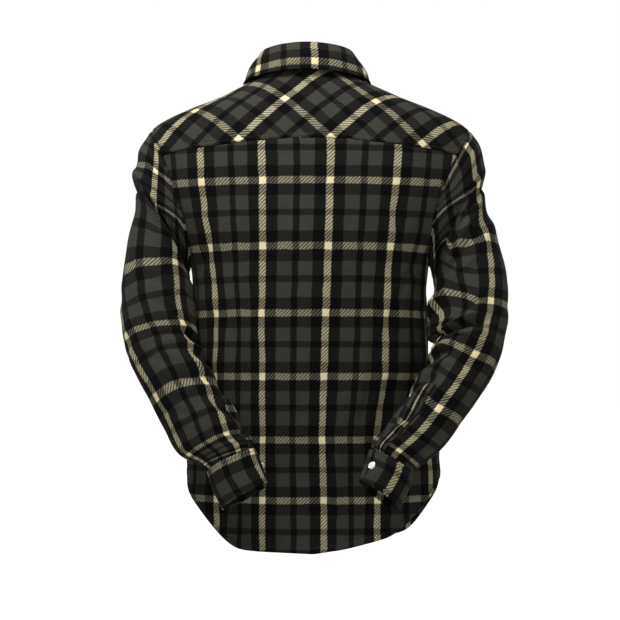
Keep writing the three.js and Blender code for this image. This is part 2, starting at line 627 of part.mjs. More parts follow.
// How far the creases push the cloth in (below 0) or out at a turn and a row of a sleeve.
function crease(table, turn, row) {
  let total = 0;
  for (const c of table) {
    const along = vec((c.toTurn - c.turn) * deg(1) * TURN_RADIUS, (c.toRow - c.row) * ROW_STEP, 0);
    const offset = (k) => vec((turn + k * 360 - c.turn) * deg(1) * TURN_RADIUS, (row - c.row) * ROW_STEP, 0);
    const from = [offset(-1), offset(0), offset(1)].sort((a, b) => Math.abs(a.x) - Math.abs(b.x))[0];
    const length = along.length();
    const share = from.dot(along) / length ** 2;
    const past = Math.max(0, -share, share - 1) * length;
    const across = (from.x * along.y - from.y * along.x) / length;
    const fade = Math.exp(-((past / (1.3 * c.width)) ** 2));
    const aside = Math.abs(across) - 1.5 * c.width;
    total -= fade * c.depth * Math.exp(-((across / c.width) ** 2));
    total += fade * c.beside * Math.exp(-((aside / c.width) ** 2));
  }
  return total;
}

// A sleeve's outer surface at a turn and a row: row -2 is the armhole, -1 the cap, 0 the table's first.
const CAP_BULGE = 9;
const CAP_SHARE = 0.42;
const SLEEVE_CLEAR = 1.6; // between a sleeve and the torso it touches
function sleevePoint(rows, creases, side, turn, row) {
  const seam = armholeSeam(turn, side);
  const armhole = onTorso(seam);
  const first = sectionPoint(section(rows, 0), turn);
  const cap = armhole.clone().lerp(first, CAP_SHARE);
  const lifted = 0.5 + 0.5 * Math.cos(deg(turn));
  cap.addScaledVector(torsoNormal(seam.x, seam.y), CAP_BULGE * (0.35 + lifted) * 0.6);
  const line = [armhole, cap, ...rows.map((_, i) => sectionPoint(section(rows, i), turn))];
  const p = through(line, row + 2);
  const near = smooth((row + 2) / 1.6);
  const end = 1 - smooth(row - rows.length + 4);
  const { middle } = section(rows, THREE.MathUtils.clamp(Math.round(row), 0, rows.length - 1));
  const out = p.clone().sub(middle).normalize();
  p.addScaledVector(out, near * end * crease(creases, turn, row));
  return row <= -2 ? p : clearOfTorso(p, SLEEVE_CLEAR * smooth((row + 2) / 0.5));
}

// The sleeve's outer points and their normals, from the cuff up to the armhole.
const TURN_COLUMN = 15; // degrees between two columns of points
const SLEEVE_TURNS = Array.from({ length: 360 / TURN_COLUMN }, (_, i) => i * TURN_COLUMN);
const CAP_STEPS = [-2, -1.6, -1.2, -0.8, -0.4];
function sleeveGrid(rows, creases, side) {
  const steps = [...CAP_STEPS];
  for (let row = 0; row <= rows.length - 1; row += 0.5) steps.push(row);
  steps.reverse();
  const turns = side > 0 ? SLEEVE_TURNS : SLEEVE_TURNS.toReversed();
  const outer = grid(turns, steps, (turn, row) => sleevePoint(rows, creases, side, turn, row));
  const normal = normals(outer, true);
  turns.forEach((turn, i) => (normal.at(-1)[i] = armholeNormal(turn, side)));
  return { turns, steps, outer, normal };
}

// A sleeve, and the strip that finishes the slit above its cuff, which lies on the sleeve.
const SLIT_WIDTH = 30; // degrees
const SLIT_TOP = 7.5; // row
const SLIT_CLOTH = 2.4;
function sleeve(side, rows, creases, cuffRows, slitTurn) {
  const name = side > 0 ? "left" : "right";
  const all = tucked(rows, cuffRows);
  const { turns, steps, outer, normal } = sleeveGrid(all, creases, side);
  add(`sleeve_${name}`, between(outer, moved(outer, normal, -CLOTH), true));

  const onSlit = (list) => list.filter((_, i) => turns[i] >= slitTurn && turns[i] <= slitTurn + SLIT_WIDTH);
  const onLength = (_, j) => steps[j] >= SLIT_TOP && steps[j] < all.length - TUCK_ROWS.length;
  const under = outer.filter(onLength).map(onSlit);
  const facing = normal.filter(onLength).map(onSlit);
  const strip = moved(under, facing, LAP_GAP + SLIT_CLOTH);
  add(`sleeve_placket_${name}`, between(strip, moved(under, facing, LAP_GAP)));
}
const LEFT_SLIT = 158;
const RIGHT_SLIT = 120;
sleeve(1, LEFT_SLEEVE, LEFT_CREASES, LEFT_CUFF, LEFT_SLIT);
sleeve(-1, RIGHT_SLEEVE, RIGHT_CREASES, RIGHT_CUFF, RIGHT_SLIT);

// A cuff is a strip round the wrist whose one end laps over the other.
const CUFF_LAP = 34; // degrees
function cuffPoint(rows, start, turn, v, proud = 0) {
  const share = (turn - start) / (360 + CUFF_LAP);
  const over = (DOUBLED + LAP_GAP) * smooth((share * (360 + CUFF_LAP) - 300) / 50) + proud;
  const line = rows.map((_, i) => sectionPoint(section(rows, i), turn));
  const p = through(line, v * (rows.length - 1));
  const { middle } = section(rows, 1);
  const out = sectionPoint(section(rows, 1), turn).sub(middle).normalize();
  return p.addScaledVector(out, over);
}
function cuff(name, rows, start, side) {
  const turns = spread(26).map((t) => start + t * (360 + CUFF_LAP));
  if (side < 0) turns.reverse();
  const points = grid(turns, [1, 0.75, 0.5, 0.25, 0], (turn, v) => cuffPoint(rows, start, turn, v));
  add(name, between(points, moved(points, normals(points), -DOUBLED)));
}
const LEFT_CUFF_START = 160;
const RIGHT_CUFF_START = 110;
cuff("cuff_left", LEFT_CUFF, LEFT_CUFF_START, 1);
cuff("cuff_right", RIGHT_CUFF, RIGHT_CUFF_START, -1);

// The collar stand goes round from the left front end, over the left shoulder and the back to the
// right front end, which lies under the left one.
const STAND_FOOT = 0.6;
const STAND_SPREAD = 11; // degrees of the lap on each side of the middle
const STAND_SINK = 28;
function standPoint(angle, v, proud = 0) {
  const foot = torsoPoint(angle, 0);
  const front = smooth((-Math.sin(deg(angle)) - 0.2) / 0.8);
  const height = lerp(STAND_HEIGHT, STAND_FRONT_HEIGHT, front);
  const under = smooth((angle - (270 - STAND_SINK)) / (STAND_SINK - STAND_SPREAD));
  const inwards = STAND_LEAN * v + under * (DOUBLED + LAP_GAP) - proud;
  const out = vec(foot.x, foot.y, 0).normalize();
  return foot.addScaledVector(out, -inwards).add(vec(0, 0, STAND_FOOT + v * height));
}
const LEAF_ENDS = 77; // degrees of the leaf's ends in front of the side
const leafAngles = spread(30).map((t) => lerp(-LEAF_ENDS, 180 + LEAF_ENDS, t));
const lapAngles = [LEAF_ENDS + 0.5 * (90 + STAND_SPREAD - LEAF_ENDS), 90 + STAND_SPREAD];
const standAngles = [
  ...lapAngles.toReversed().map((a) => -a),
  ...leafAngles,
  ...lapAngles.map((a) => 180 + a),
];
const standGrid = grid(standAngles, spread(3), (angle, v) => standPoint(angle, v));
add("collar_stand", between(standGrid, moved(standGrid, normals(standGrid), -DOUBLED)));

// The leaf is sewn to the top of the stand, rolls over outwards and lies down over it.
const leafColumns = {};
const LEAF_LIFT = 6.4; // the leaf's own thickness and a gap, measured upright on the slope
for (const key of ["edge", "out", "height"]) leafColumns[key] = column(LEAF_EDGE, key);
function leafPoint(angle, v) {
  const half = angle <= 90 ? angle : 180 - angle;
  const top = standPoint(angle <= 90 ? angle : 180 - half, 1);
  const edgeAngle = leafColumns.edge(half);
  const foot = torsoPoint(angle <= 90 ? edgeAngle : 180 - edgeAngle, 0);
  const out = vec(foot.x, foot.y, 0).normalize();
  const edge = vec(foot.x, foot.y, leafColumns.height(half)).addScaledVector(out, leafColumns.out(half));
  const topOut = vec(top.x, top.y, 0).normalize();
  const sewn = top.clone().add(vec(0, 0, SEAM_GAP));
  const crown = sewn.clone().addScaledVector(topOut, LEAF_ROLL).add(vec(0, 0, LEAF_ROLL));
  const down = sewn.clone().addScaledVector(topOut, 2 * LEAF_ROLL + 2).add(vec(0, 0, -LEAF_ROLL * 0.8));
  const middle = down.clone().lerp(edge, 0.5).addScaledVector(topOut, 3);
  const p = through([sewn, crown, down, middle, edge], v * 4);
  if (v < 0.45) return p;
  // Where it would sink into the shoulders or the chest it lies on them
  const least = torsoHeight(p.x, p.y) + LEAF_LIFT;
  const past = p.z - least;
  if (past > CLEAR_SOFTNESS) return p;
  return vec(p.x, p.y, least + CLEAR_SOFTNESS * Math.exp(past / CLEAR_SOFTNESS - 1));
}
const leafShares = [1, 0.87, 0.75, 0.62, 0.5, 0.42, 0.33, 0.25, 0.17, 0.08, 0];
const leafGrid = grid(leafAngles, leafShares, leafPoint);
add("collar_leaf", between(leafGrid, moved(leafGrid, normals(leafGrid), -DOUBLED)));

// A snap is a low dome that sits on a place of a surface, facing along its normal.
function snap(name, at, normal) {
  const outline = [
    [0, 0],
    [SNAP_RADIUS, 0],
    [SNAP_RADIUS, 0.35 * SNAP_THICK],
    [0.8 * SNAP_RADIUS, 0.8 * SNAP_THICK],
    [0.4 * SNAP_RADIUS, SNAP_THICK],
    [0, SNAP_THICK],
  ];
  const geometry = new THREE.LatheGeometry(
    outline.map(([r, h]) => new THREE.Vector2(r, h)),
    14,
  );
  geometry.deleteAttribute("uv");
  const turn = new THREE.Quaternion().setFromUnitVectors(vec(0, 1, 0), normal);
  geometry.applyQuaternion(turn);
  const foot = at.clone().addScaledVector(normal, SEAM_GAP);
  geometry.translate(foot.x, foot.y, foot.z);
  add(name, geometry, pearl());
}
// The level at which the middle of the front has a height.
function frontLevelAt(height) {
  let level = height;
  for (let i = 0; i < 30; i++) level = height - torsoColumns.frontLift(level);
  return level;
}
for (let i = 0; i < SNAP_COUNT; i++) {
  const level = frontLevelAt(SNAP_FIRST - i * SNAP_STEP);
  const angle = frontAngle(0, level);
  const normal = torsoNormal(angle, level);
  snap(`snap_${i + 1}`, torsoPoint(angle, level).addScaledVector(normal, PLACKET_PROUD), normal);
}
const STAND_SNAP = 0.5; // share of the stand's height
const standAcross = standPoint(-88, STAND_SNAP).sub(standPoint(-92, STAND_SNAP));
const standUp = standPoint(-90, 0.6).sub(standPoint(-90, 0.4));
snap("snap_collar", standPoint(-90, STAND_SNAP), standAcross.cross(standUp).normalize());
function cuffSnap(name, rows, start, side) {
  const turn = start + 360 + CUFF_LAP - 12;
  const at = (dt, v) => cuffPoint(rows, start, turn + dt, v);
  const normal = at(4, 0.5).sub(at(-4, 0.5)).cross(at(0, 0.6).sub(at(0, 0.4))).normalize();
  const out = at(0, 0.5).sub(section(rows, 1).middle);
  snap(name, at(0, 0.5), normal.dot(out) < 0 ? normal.negate() : normal);
}
cuffSnap("snap_cuff_left", LEFT_CUFF, LEFT_CUFF_START, 1);
cuffSnap("snap_cuff_right", RIGHT_CUFF, RIGHT_CUFF_START, -1);

export default shirt;
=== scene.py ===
# %% [markdown]
# A heavy flannel shirt in a black, charcoal and cream check, seen from behind. It keeps the form
# of being worn, with both arms bent behind the back. The lesson loads the measured solids first,
# and then cuts, shapes and finishes each piece of cloth on them.

# %% The frame and the sizes that every piece shares
import math

import bpy
import numpy as np
from mathutils import Matrix, Vector


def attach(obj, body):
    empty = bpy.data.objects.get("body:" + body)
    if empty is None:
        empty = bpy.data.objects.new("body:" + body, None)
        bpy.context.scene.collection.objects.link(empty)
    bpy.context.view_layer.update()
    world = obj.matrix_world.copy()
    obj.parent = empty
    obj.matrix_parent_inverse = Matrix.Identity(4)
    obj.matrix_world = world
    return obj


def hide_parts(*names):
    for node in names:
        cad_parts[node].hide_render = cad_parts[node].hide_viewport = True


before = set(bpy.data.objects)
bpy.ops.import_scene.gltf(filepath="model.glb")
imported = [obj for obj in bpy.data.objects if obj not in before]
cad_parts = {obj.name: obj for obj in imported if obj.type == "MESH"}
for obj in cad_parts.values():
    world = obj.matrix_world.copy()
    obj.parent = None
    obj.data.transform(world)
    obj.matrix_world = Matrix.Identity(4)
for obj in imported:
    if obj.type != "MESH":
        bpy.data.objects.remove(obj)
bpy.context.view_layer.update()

MM = 0.001
CLOTH = 2.2
DOUBLED = 3.4
SEAM_GAP = 0.3
LAP_GAP = 0.5
REPEAT = 96.0
print("solids", len(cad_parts), "repeat of the check", REPEAT, "mm")

# %% [markdown]
# The camera stands behind the shirt at waist height, about two metres off, and looks level. The
# picture is shifted up a little instead of tilting the camera, so upright lines stay upright.

# %% Camera
VIEW_DISTANCE = 2.2
EYE_HEIGHT = -0.462
WIDTH_SEEN = 0.961
SENSOR = 36.0
camera_data = bpy.data.cameras.new("camera")
camera_data.sensor_width = SENSOR
camera_data.lens = SENSOR * VIEW_DISTANCE / WIDTH_SEEN
camera_data.shift_y = 66 / 620
camera_data.dof.use_dof = False
camera = bpy.data.objects.new("camera", camera_data)
camera.location = (0.0015, VIEW_DISTANCE, EYE_HEIGHT)
camera.rotation_euler = (math.pi / 2, 0, math.pi)
bpy.context.scene.collection.objects.link(camera)
bpy.context.scene.camera = camera
print("lens", round(camera_data.lens, 1), "mm")

# %% [markdown]
# The body of the shirt is one smooth surface, given by a row of sizes at each level. The panels
# are patches of it, so that they meet at their seams. Angles go round the body from the left
# side (0) over the back (90) to the right side (180).

# %% Sizes of the body
TORSO_KEYS = ("at", "centre", "width", "back", "front", "back_lift", "front_lift", "round")
TORSO_ROWS = [
    (-770, -4, 188, 88, 126, 0, 0, 2.2),
    (-640, -4, 196, 98, 133, 0, 0, 2.2),
    (-560, -3, 193, 106, 138, 0, 0, 2.25),
    (-470, 0, 186, 116, 141, 0, 0, 2.3),
    (-380, 2, 182, 127, 145, 0, 0, 2.3),
    (-290, 2, 184, 134, 148, 0, 0, 2.3),
    (-240, 1, 211, 136, 147, 0, -15, 2.3),
    (-180, 0, 242, 133, 141, 0, -40, 2.3),
    (-130, 0, 252, 126, 131, 0, -60, 2.3),
    (-100, 0, 250, 118, 122, 0, -72, 2.25),
    (-82, 1, 243, 111, 116, 0, -77, 2.2),
    (-70, 1, 226, 106, 111, 0, -79, 2.2),
    (-54, 1, 191, 98, 104, 0, -80, 2.2),
    (-38, 1, 150, 88, 96, 0, -80, 2.15),
    (-22, 3, 116, 77, 87, 1, -78, 2.1),
    (-12, 5, 96, 69, 81, 2, -76, 2.05),
    (0, 6, 70, 60, 72, 3, -72, 2),
]
FOLD_KEYS = ("angle", "lean", "low", "high", "depth", "width")
FOLD_ROWS = [
    (48, -4, -600, -330, -5, 16),
    (36, 3, -640, -380, 5, 20),
    (140, 4, -620, -400, -4, 18),
    (20, 0, -650, -420, -6, 22),
    (160, 0, -650, -430, -6, 22),
    (-35, 6, -700, -320, 6, 24),
    (-55, 4, -720, -420, -6, 22),
    (215, -6, -700, -320, 6, 24),
    (235, -4, -720, -440, -6, 22),
    (-28, -10, -330, -190, -5, 18),
    (208, 10, -330, -190, -5, 18),
]
HEM_SIDE = -611
HEM_FRONT = -722
HEM_KEYS = ("at", "drop", "right_drop")
HEM_ROWS = [
    (0, 0, 0),
    (8, 26, 14),
    (18, 59, 42),
    (25, 87, 69),
    (31, 104, 85),
    (37, 111, 94),
    (60, 114, 108),
    (90, 116, 116),
]
ARMHOLE_KEYS = ("angle", "level", "right_angle")
ARMHOLE_ROWS = [
    (0, -82, 0),
    (9, -98, 9),
    (17, -131, 18),
    (20.5, -180, 24),
    (21.5, -235, 24),
    (15, -277, 15),
    (0, -292, 0),
    (-15, -277, -15),
    (-24, -235, -24),
    (-24, -180, -24),
    (-18, -130, -18),
    (-9.5, -97, -9.5),
]
YOKE_BACK = -112
YOKE_NECK_ANGLE = -32
UNDERARM_STEP = 6
BACK_YOKE_STEP = 2
FRONT_YOKE_STEP = 11


def table(keys, rows):
    """A table as one array for each named column."""
    return {key: np.array([row[i] for row in rows], float) for i, key in enumerate(keys)}


def column(columns, key):
    """A smooth function through a column, along the table's own at column."""
    at, value = columns["at"], columns[key]
    last = len(at) - 1
    before = np.maximum(np.arange(last + 1) - 1, 0)
    after = np.minimum(np.arange(last + 1) + 1, last)
    slope = (value[after] - value[before]) / (at[after] - at[before])

    def smooth_value(t):
        t = np.asarray(t, float)
        i = np.clip(np.searchsorted(at, t, side="left") - 1, 0, last - 1)
        span = at[i + 1] - at[i]
        s = np.clip((t - at[i]) / span, 0, 1)
        bend = span * s * (1 - s) * ((1 - s) * slope[i] - s * slope[i + 1])
        return value[i] + (value[i + 1] - value[i]) * s * s * (3 - 2 * s) + bend

    return smooth_value


torso_table = table(TORSO_KEYS, TORSO_ROWS)
torso_size = {key: column(torso_table, key) for key in TORSO_KEYS[1:]}
folds = table(FOLD_KEYS, FOLD_ROWS)
hem_table = table(HEM_KEYS, HEM_ROWS)
hem_drop = column(hem_table, "drop")
hem_right_drop = column(hem_table, "right_drop")
armhole = table(ARMHOLE_KEYS, ARMHOLE_ROWS)


def lerp(a, b, t):
    return a + (b - a) * t


def smooth(t):
    t = np.clip(t, 0, 1)
    return t * t * (3 - 2 * t)


print("levels of the body", len(TORSO_ROWS))

# %% [markdown]
# Cloth creases where it is pushed together: a soft trough with a roll of cloth on each side,
# deepest in its middle. Each one is a row in a table, with the two places between which it runs.
# Smaller unevenness comes from a few slow waves that cross each other.

# %% Creases and slow waves
# Columns: x0, y0, x1, y1, depth, width, beside, bow.


def crease_push(rows, across, along):
    """How far creases push the cloth out (above 0) or in at places on it, all in mm."""
    total = np.zeros(np.broadcast(across, along).shape)
    for x0, y0, x1, y1, depth, width, beside, bow in rows:
        dx, dy = x1 - x0, y1 - y0
        length = math.hypot(dx, dy)
        px, py = across - x0, along - y0
        share = (px * dx + py * dy) / length**2
        inside = np.clip(share, 0, 1)
        off = (px * dy - py * dx) / length - bow * 4 * inside * (1 - inside)
        past = np.maximum(0, np.maximum(-share, share - 1)) * length
        fade = np.exp(-((past / (1.3 * width)) ** 2))
        aside = np.abs(off) - 1.5 * width
        total -= fade * depth * np.exp(-((off / width) ** 2))
        total += fade * beside * np.exp(-((aside / width) ** 2))
    return total


WAVES = [
    (0.081, 0.034, 0.7, 0.5),
    (-0.042, 0.067, 2.1, 0.5),
    (0.121, -0.058, 4.0, 0.28),
    (0.033, 0.148, 5.2, 0.24),
    (-0.171, 0.047, 1.3, 0.16),
]


def slow_waves(across, along, seed):
    """Unevenness of thick cloth in mm, from waves across it; seed moves them."""
    total = 0
    for i, (kx, ky, phase, height) in enumerate(WAVES):
        total = total + height * np.sin(kx * across + ky * along + phase + seed * (i + 1.7))
    return total


# Rows are places round (mm of the girth) and heights; lower back, sides, chest and underarms
BODY_CREASES = [
    (118, -470, 96, -345, 3.2, 7, 2.2, 6),
    (85, -560, 70, -430, 2.4, 8, 1.6, -5),
    (330, -520, 345, -390, 2.6, 8, 1.8, 5),
    (360, -400, 400, -300, 3.0, 7, 2.0, -6),
    (60, -300, 100, -235, 2.4, 8, 1.6, 4),
    (400, -300, 362, -225, 2.6, 8, 1.8, -4),
    (190, -640, 178, -540, 1.6, 10, 1.0, 4),
    (268, -660, 275, -575, 1.4, 9, 0.8, -4),
    (-60, -330, -110, -215, 3.2, 9, 2.2, -6),
    (-40, -420, -70, -300, 2.6, 9, 1.6, 5),
    (-150, -600, -165, -470, 2.2, 11, 1.4, 4),
    (-330, -620, -318, -480, 2.4, 11, 1.4, -5),
    (530, -330, 580, -220, 3.0, 9, 2.0, 6),
    (510, -430, 535, -310, 2.4, 9, 1.6, -5),
]
GIRTH_RADIUS = 150


def torso_point(angle, level, fine=True):
    """The body's outer surface at angles and levels, as an array of points in mm."""
    angle = np.asarray(angle, float)
    level = np.asarray(level, float)
    size = {key: torso_size[key](level) for key in torso_size}
    c, s = np.cos(np.radians(angle)), np.sin(np.radians(angle))
    depth = np.where(s > 0, size["back"], size["front"])
    lift = np.where(s > 0, size["back_lift"], size["front_lift"])
    power = size["round"]
    total = (np.abs(c) / size["width"]) ** power + (np.abs(s) / depth) ** power
    radius = total ** (-1 / power)
    for i in range(len(FOLD_ROWS)):
        low, high = folds["low"][i], folds["high"][i]
        along = np.clip((level - low) / (high - low), 0, 1)
        middle = folds["angle"][i] + folds["lean"][i] * (along - 0.5)
        away = np.radians(angle - middle) * GIRTH_RADIUS
        height = folds["depth"][i] * np.sin(np.pi * along) ** 2
        radius = radius + height * np.exp(-((away / folds["width"][i]) ** 2))
    if fine:
        girth = np.radians(angle) * GIRTH_RADIUS
        calm = smooth(-level / 60)
        radius = radius + calm * crease_push(BODY_CREASES, girth, level)
        radius = radius + calm * slow_waves(girth, level, 0.4)
    x = size["centre"] + radius * c
    return np.stack([x, radius * s, level + lift * s * s], axis=-1)


def unit(v):
    return v / np.maximum(np.linalg.norm(v, axis=-1, keepdims=True), 1e-9)


def torso_normal(angle, level):
    """Outward unit normals of the body's surface."""
    step = 0.4
    low = np.minimum(level, -step)
    across = torso_point(angle + step, low) - torso_point(angle - step, low)
    up = torso_point(angle, low + step) - torso_point(angle, low - step)
    return unit(np.cross(across, up))


def front_angle(x, level):
    """The angle of the chest's surface at a distance x from the middle."""
    power = torso_size["round"](level)
    across = x - torso_size["centre"](level)
    share = np.abs(across / torso_size["width"](level)) ** power
    y = torso_size["front"](level) * (1 - share) ** (1 / power)
    return -np.degrees(np.arctan2(y, across))


def hem_level(angle):
    """How high the hem is round the body: high at the side seams, with a tail front and back."""
    s, c = np.sin(np.radians(angle)), np.cos(np.radians(angle))
    turn = np.degrees(np.abs(np.arcsin(s)))
    back = HEM_SIDE - np.where(c > 0, hem_drop(turn), hem_right_drop(turn))
    return np.where(s < 0, lerp(HEM_SIDE, HEM_FRONT, hem_drop(turn) / hem_drop(90)), back)


def spline(a, b, c, d, t):
    return 0.5 * (
        2 * b + (c - a) * t + (2 * a - 5 * b + 4 * c - d) * t**2 + (3 * b - a - 3 * c + d) * t**3
    )


def armhole_place(step, side):
    """Angle and level round an armhole: steps 0 to 12 from the shoulder over the back."""
    step = np.asarray(step, float)
    i = np.floor(step).astype(int)
    t = step - i
    angles = armhole["angle"] if side > 0 else armhole["right_angle"]
    count = len(ARMHOLE_ROWS)
    angle = spline(*(angles[(i + k) % count] for k in (-1, 0, 1, 2)), t)
    level = spline(*(armhole["level"][(i + k) % count] for k in (-1, 0, 1, 2)), t)
    return np.where(side > 0, angle, 180 - angle), level


print("chest", np.round(torso_point(-90, -240), 0), "back", np.round(torso_point(90, -240), 0))

# %% [markdown]
# Woollen-feeling flannel is brushed on both faces, so the check's edges blur into each other.
# Warp and weft carry the same stripes. Where they cross, the twill shows one and then the other
# in fine slanting lines, so a cream stripe looks hatched over black and solid over cream.

# %% A small language for materials


class Value:
    """One socket of a material, with which sums are written as sums."""

    def __init__(self, nodes, socket):
        self.nodes = nodes
        self.socket = socket

    def _sum(self, kind, other=None, swapped=False):
        node = self.nodes.tree.nodes.new("ShaderNodeMath")
        node.operation = kind
        terms = [self] if other is None else [other, self] if swapped else [self, other]
        for i, term in enumerate(terms):
            self.nodes.put(node.inputs[i], term)
        return Value(self.nodes, node.outputs[0])

    def __add__(self, other):
        return self._sum("ADD", other)

    def __sub__(self, other):
        return self._sum("SUBTRACT", other)

    def __mul__(self, other):
        return self._sum("MULTIPLY", other)

    def __truediv__(self, other):
        return self._sum("DIVIDE", other)

    def __rsub__(self, other):
        return self._sum("SUBTRACT", other, swapped=True)

    def __rtruediv__(self, other):
        return self._sum("DIVIDE", other, swapped=True)

    __radd__ = __add__
    __rmul__ = __mul__

    def fract(self):
        return self._sum("FRACT")

    def sine(self):
        return self._sum("SINE")

    def power(self, other):
        return self._sum("POWER", other)

    def between(self, low, high):
        """0 up to low and 1 from high, soft between."""
        return self.nodes.make(
            "ShaderNodeMapRange",
            {"interpolation_type": "SMOOTHSTEP"},
            {"Value": self, "From Min": low, "From Max": high},
        )


class Nodes:
    """The nodes of one material."""

    def __init__(self, name):
        self.material = bpy.data.materials.new(name)
        self.material.use_nodes = True
        self.tree = self.material.node_tree
        self.surface = self.tree.nodes["Principled BSDF"]

    def put(self, socket, value):
        if isinstance(value, Value):
            self.tree.links.new(value.socket, socket)
        else:
            socket.default_value = value

    def make(self, kind, settings=(), values=(), output=0):
        """A node of a kind with its settings and inputs; gives back one of its outputs."""
        node = self.tree.nodes.new(kind)
        for name, value in dict(settings).items():
            setattr(node, name, value)
        for name, value in dict(values).items():
            self.put(node.inputs[name], value)
        return Value(self, node.outputs[output])

    def place(self):
        """Object coordinates, in metres."""
        return self.make("ShaderNodeTexCoord", output="Object")

    def cloth(self):
        """The two directions of the cloth, in metres: across it and up it."""
        where = self.make("ShaderNodeUVMap", {"uv_map": "cloth"})
        parts = self.make("ShaderNodeSeparateXYZ", (), {"Vector": where})
        node = parts.socket.node
        return Value(self, node.outputs["X"]), Value(self, node.outputs["Y"])

    def first_part(self, colour):
        """The red part of a colour, as a number."""
        return self.make("ShaderNodeSeparateColor", (), {"Color": colour})

    def noise(self, vector, scale, detail=2.0, roughness=0.5):
        return self.make(
            "ShaderNodeTexNoise",
            (),
            {"Vector": vector, "Scale": scale, "Detail": detail, "Roughness": roughness},
        )

    def mix(self, amount, a, b, kind="MIX"):
        node = self.tree.nodes.new("ShaderNodeMix")
        node.data_type = "RGBA"
        node.blend_type = kind
        self.put(node.inputs[0], amount)
        self.put(node.inputs[6], a)
        self.put(node.inputs[7], b)
        return Value(self, node.outputs[2])

    def ramp(self, amount, stops):
        """Colours along a value, from a list of places and colours."""
        out = self.make("ShaderNodeValToRGB", (), {"Fac": amount})
        bar = out.socket.node.color_ramp
        bar.interpolation = "EASE"
        bar.elements[0].position, bar.elements[0].color = stops[0]
        bar.elements[1].position, bar.elements[1].color = stops[-1]
        for at, colour in stops[1:-1]:
            bar.elements.new(at).color = colour
        return out

    def bump(self, height, distance, strength, normal=None):
        values = {"Height": height, "Distance": distance, "Strength": strength}
        if normal is not None:
            values["Normal"] = normal
        return self.make("ShaderNodeBump", (), values)


def linear(red, green, blue):
    """A colour from its 0 to 255 values on a screen."""
    parts = [v / 255 for v in (red, green, blue)]
    return (*(v / 12.92 if v < 0.04045 else ((v + 0.055) / 1.055) ** 2.4 for v in parts), 1)


print("colour of cream thread", [round(v, 3) for v in linear(226, 213, 166)])

# %% [markdown]
# The sett is read off the real cloth: a cream stripe, then black, charcoal, a narrow black,
# charcoal and black, about 96 mm from cream to cream. One twill line is about 4 mm wide, as
# thick yarn is.

# %% Flannel
CREAM = linear(226, 213, 168)
CHARCOAL = linear(57, 56, 50)
BLACK = linear(8, 8, 9)
SETT = [
    ("cream", 11),
    ("black", 16.5),
    ("charcoal", 22),
    ("black", 9.5),
    ("charcoal", 20.5),
    ("black", 16.5),
]
SOFT_EDGE = 1.6
TWILL = 5.6
DEPTH = 8
THREADS = {"cream": CREAM, "charcoal": CHARCOAL, "black": BLACK}


def deep(colour):
    """The root of a colour in which two threads mix as the eye sees them mixed in a brushed cloth."""
    return (*(part ** (1 / DEPTH) for part in colour[:3]), 1)


def sett_colours():
    """Places and colours along one repeat, which starts in the middle of the cream stripe."""
    stops = [(0.0, deep(CREAM))]
    at = SETT[0][1] / 2
    for i, (name, _) in enumerate(SETT):
        following, width = SETT[(i + 1) % len(SETT)]
        stops.append(((at - SOFT_EDGE / 2) / REPEAT, deep(THREADS[name])))
        stops.append(((at + SOFT_EDGE / 2) / REPEAT, deep(THREADS[following])))
        at += width
    return [*stops, (1.0, deep(CREAM))]


def flannel(name):
    n = Nodes(name)
    across, up = n.cloth()
    place = n.place()
    fray = (n.noise(place, 1100, 2) - 0.5) * (0.0026 / (REPEAT * MM))
    slack = (n.noise(place, 45, 1) - 0.5) * (0.0028 / (REPEAT * MM))
    warp = n.ramp((across / (REPEAT * MM) + fray + slack + 4).fract(), sett_colours())
    weft = n.ramp((up / (REPEAT * MM) + fray - slack + 16).fract(), sett_colours())
    wander = (n.noise(place, 260, 1) - 0.5) * 1.8
    lines = ((across - up) * (2 * math.pi / (TWILL * MM)) + wander).sine()
    pile = n.noise(place, 1500, 3, 0.65)
    bright = n.first_part(warp) + n.first_part(weft)
    contrast = bright.between(1.36, 1.5) * 0.17 + 0.1
    share = 0.41 + lines * contrast + (pile - 0.5) * 0.25
    mixed = n.mix(share, warp, weft)
    colour = n.make("ShaderNodeGamma", (), {"Color": mixed, "Gamma": DEPTH})
    clumps = n.noise(place, 170, 2, 0.6)
    worn = n.noise(place, 16, 3, 0.5)
    shade = 0.66 + pile * 0.34 + clumps * 0.2 + worn * 0.14
    tone = n.make("ShaderNodeCombineColor", (), {"Red": shade, "Green": shade, "Blue": shade})
    colour = n.mix(1.0, colour, tone, "MULTIPLY")
    n.put(n.surface.inputs["Base Color"], colour)
    n.put(n.surface.inputs["Roughness"], 0.9 + clumps * 0.1)
    n.surface.inputs["Specular IOR Level"].default_value = 0.06
    n.surface.inputs["Sheen Weight"].default_value = 0.026
    n.surface.inputs["Sheen Roughness"].default_value = 0.5
    n.surface.inputs["Sheen Tint"].default_value = linear(205, 200, 180)
    ribs = n.bump(lines, 0.0005, 0.3)
    fluff = n.bump(pile, 0.0011, 0.45, ribs)
    fluff = n.bump(clumps, 0.002, 0.3, fluff)
    n.put(n.surface.inputs["Normal"], fluff)
    return n.material


flannel_cloth = flannel("brushed_flannel")
print("stops in one repeat", len(sett_colours()))

# %% [markdown]
# Every piece is cut flat and sewn to its neighbours. Here a piece is a patch between four seam
# lines on the body. A grid of points is laid over the patch, and each point also gets its place
# on the cloth, so that the check runs true on each piece and breaks at the seams as on a real
# shirt.

# %% Seam lines of the body
GAP_ANGLE = math.degrees(SEAM_GAP / 2 / 125)
SEAM_SHARE = 0.62


def mirrored(side, turn, level):
    return np.array([turn if side > 0 else 180 - turn, level])


def hole_place(step, side):
    angle, level = armhole_place(step, side)
    return np.array([float(angle), float(level)])


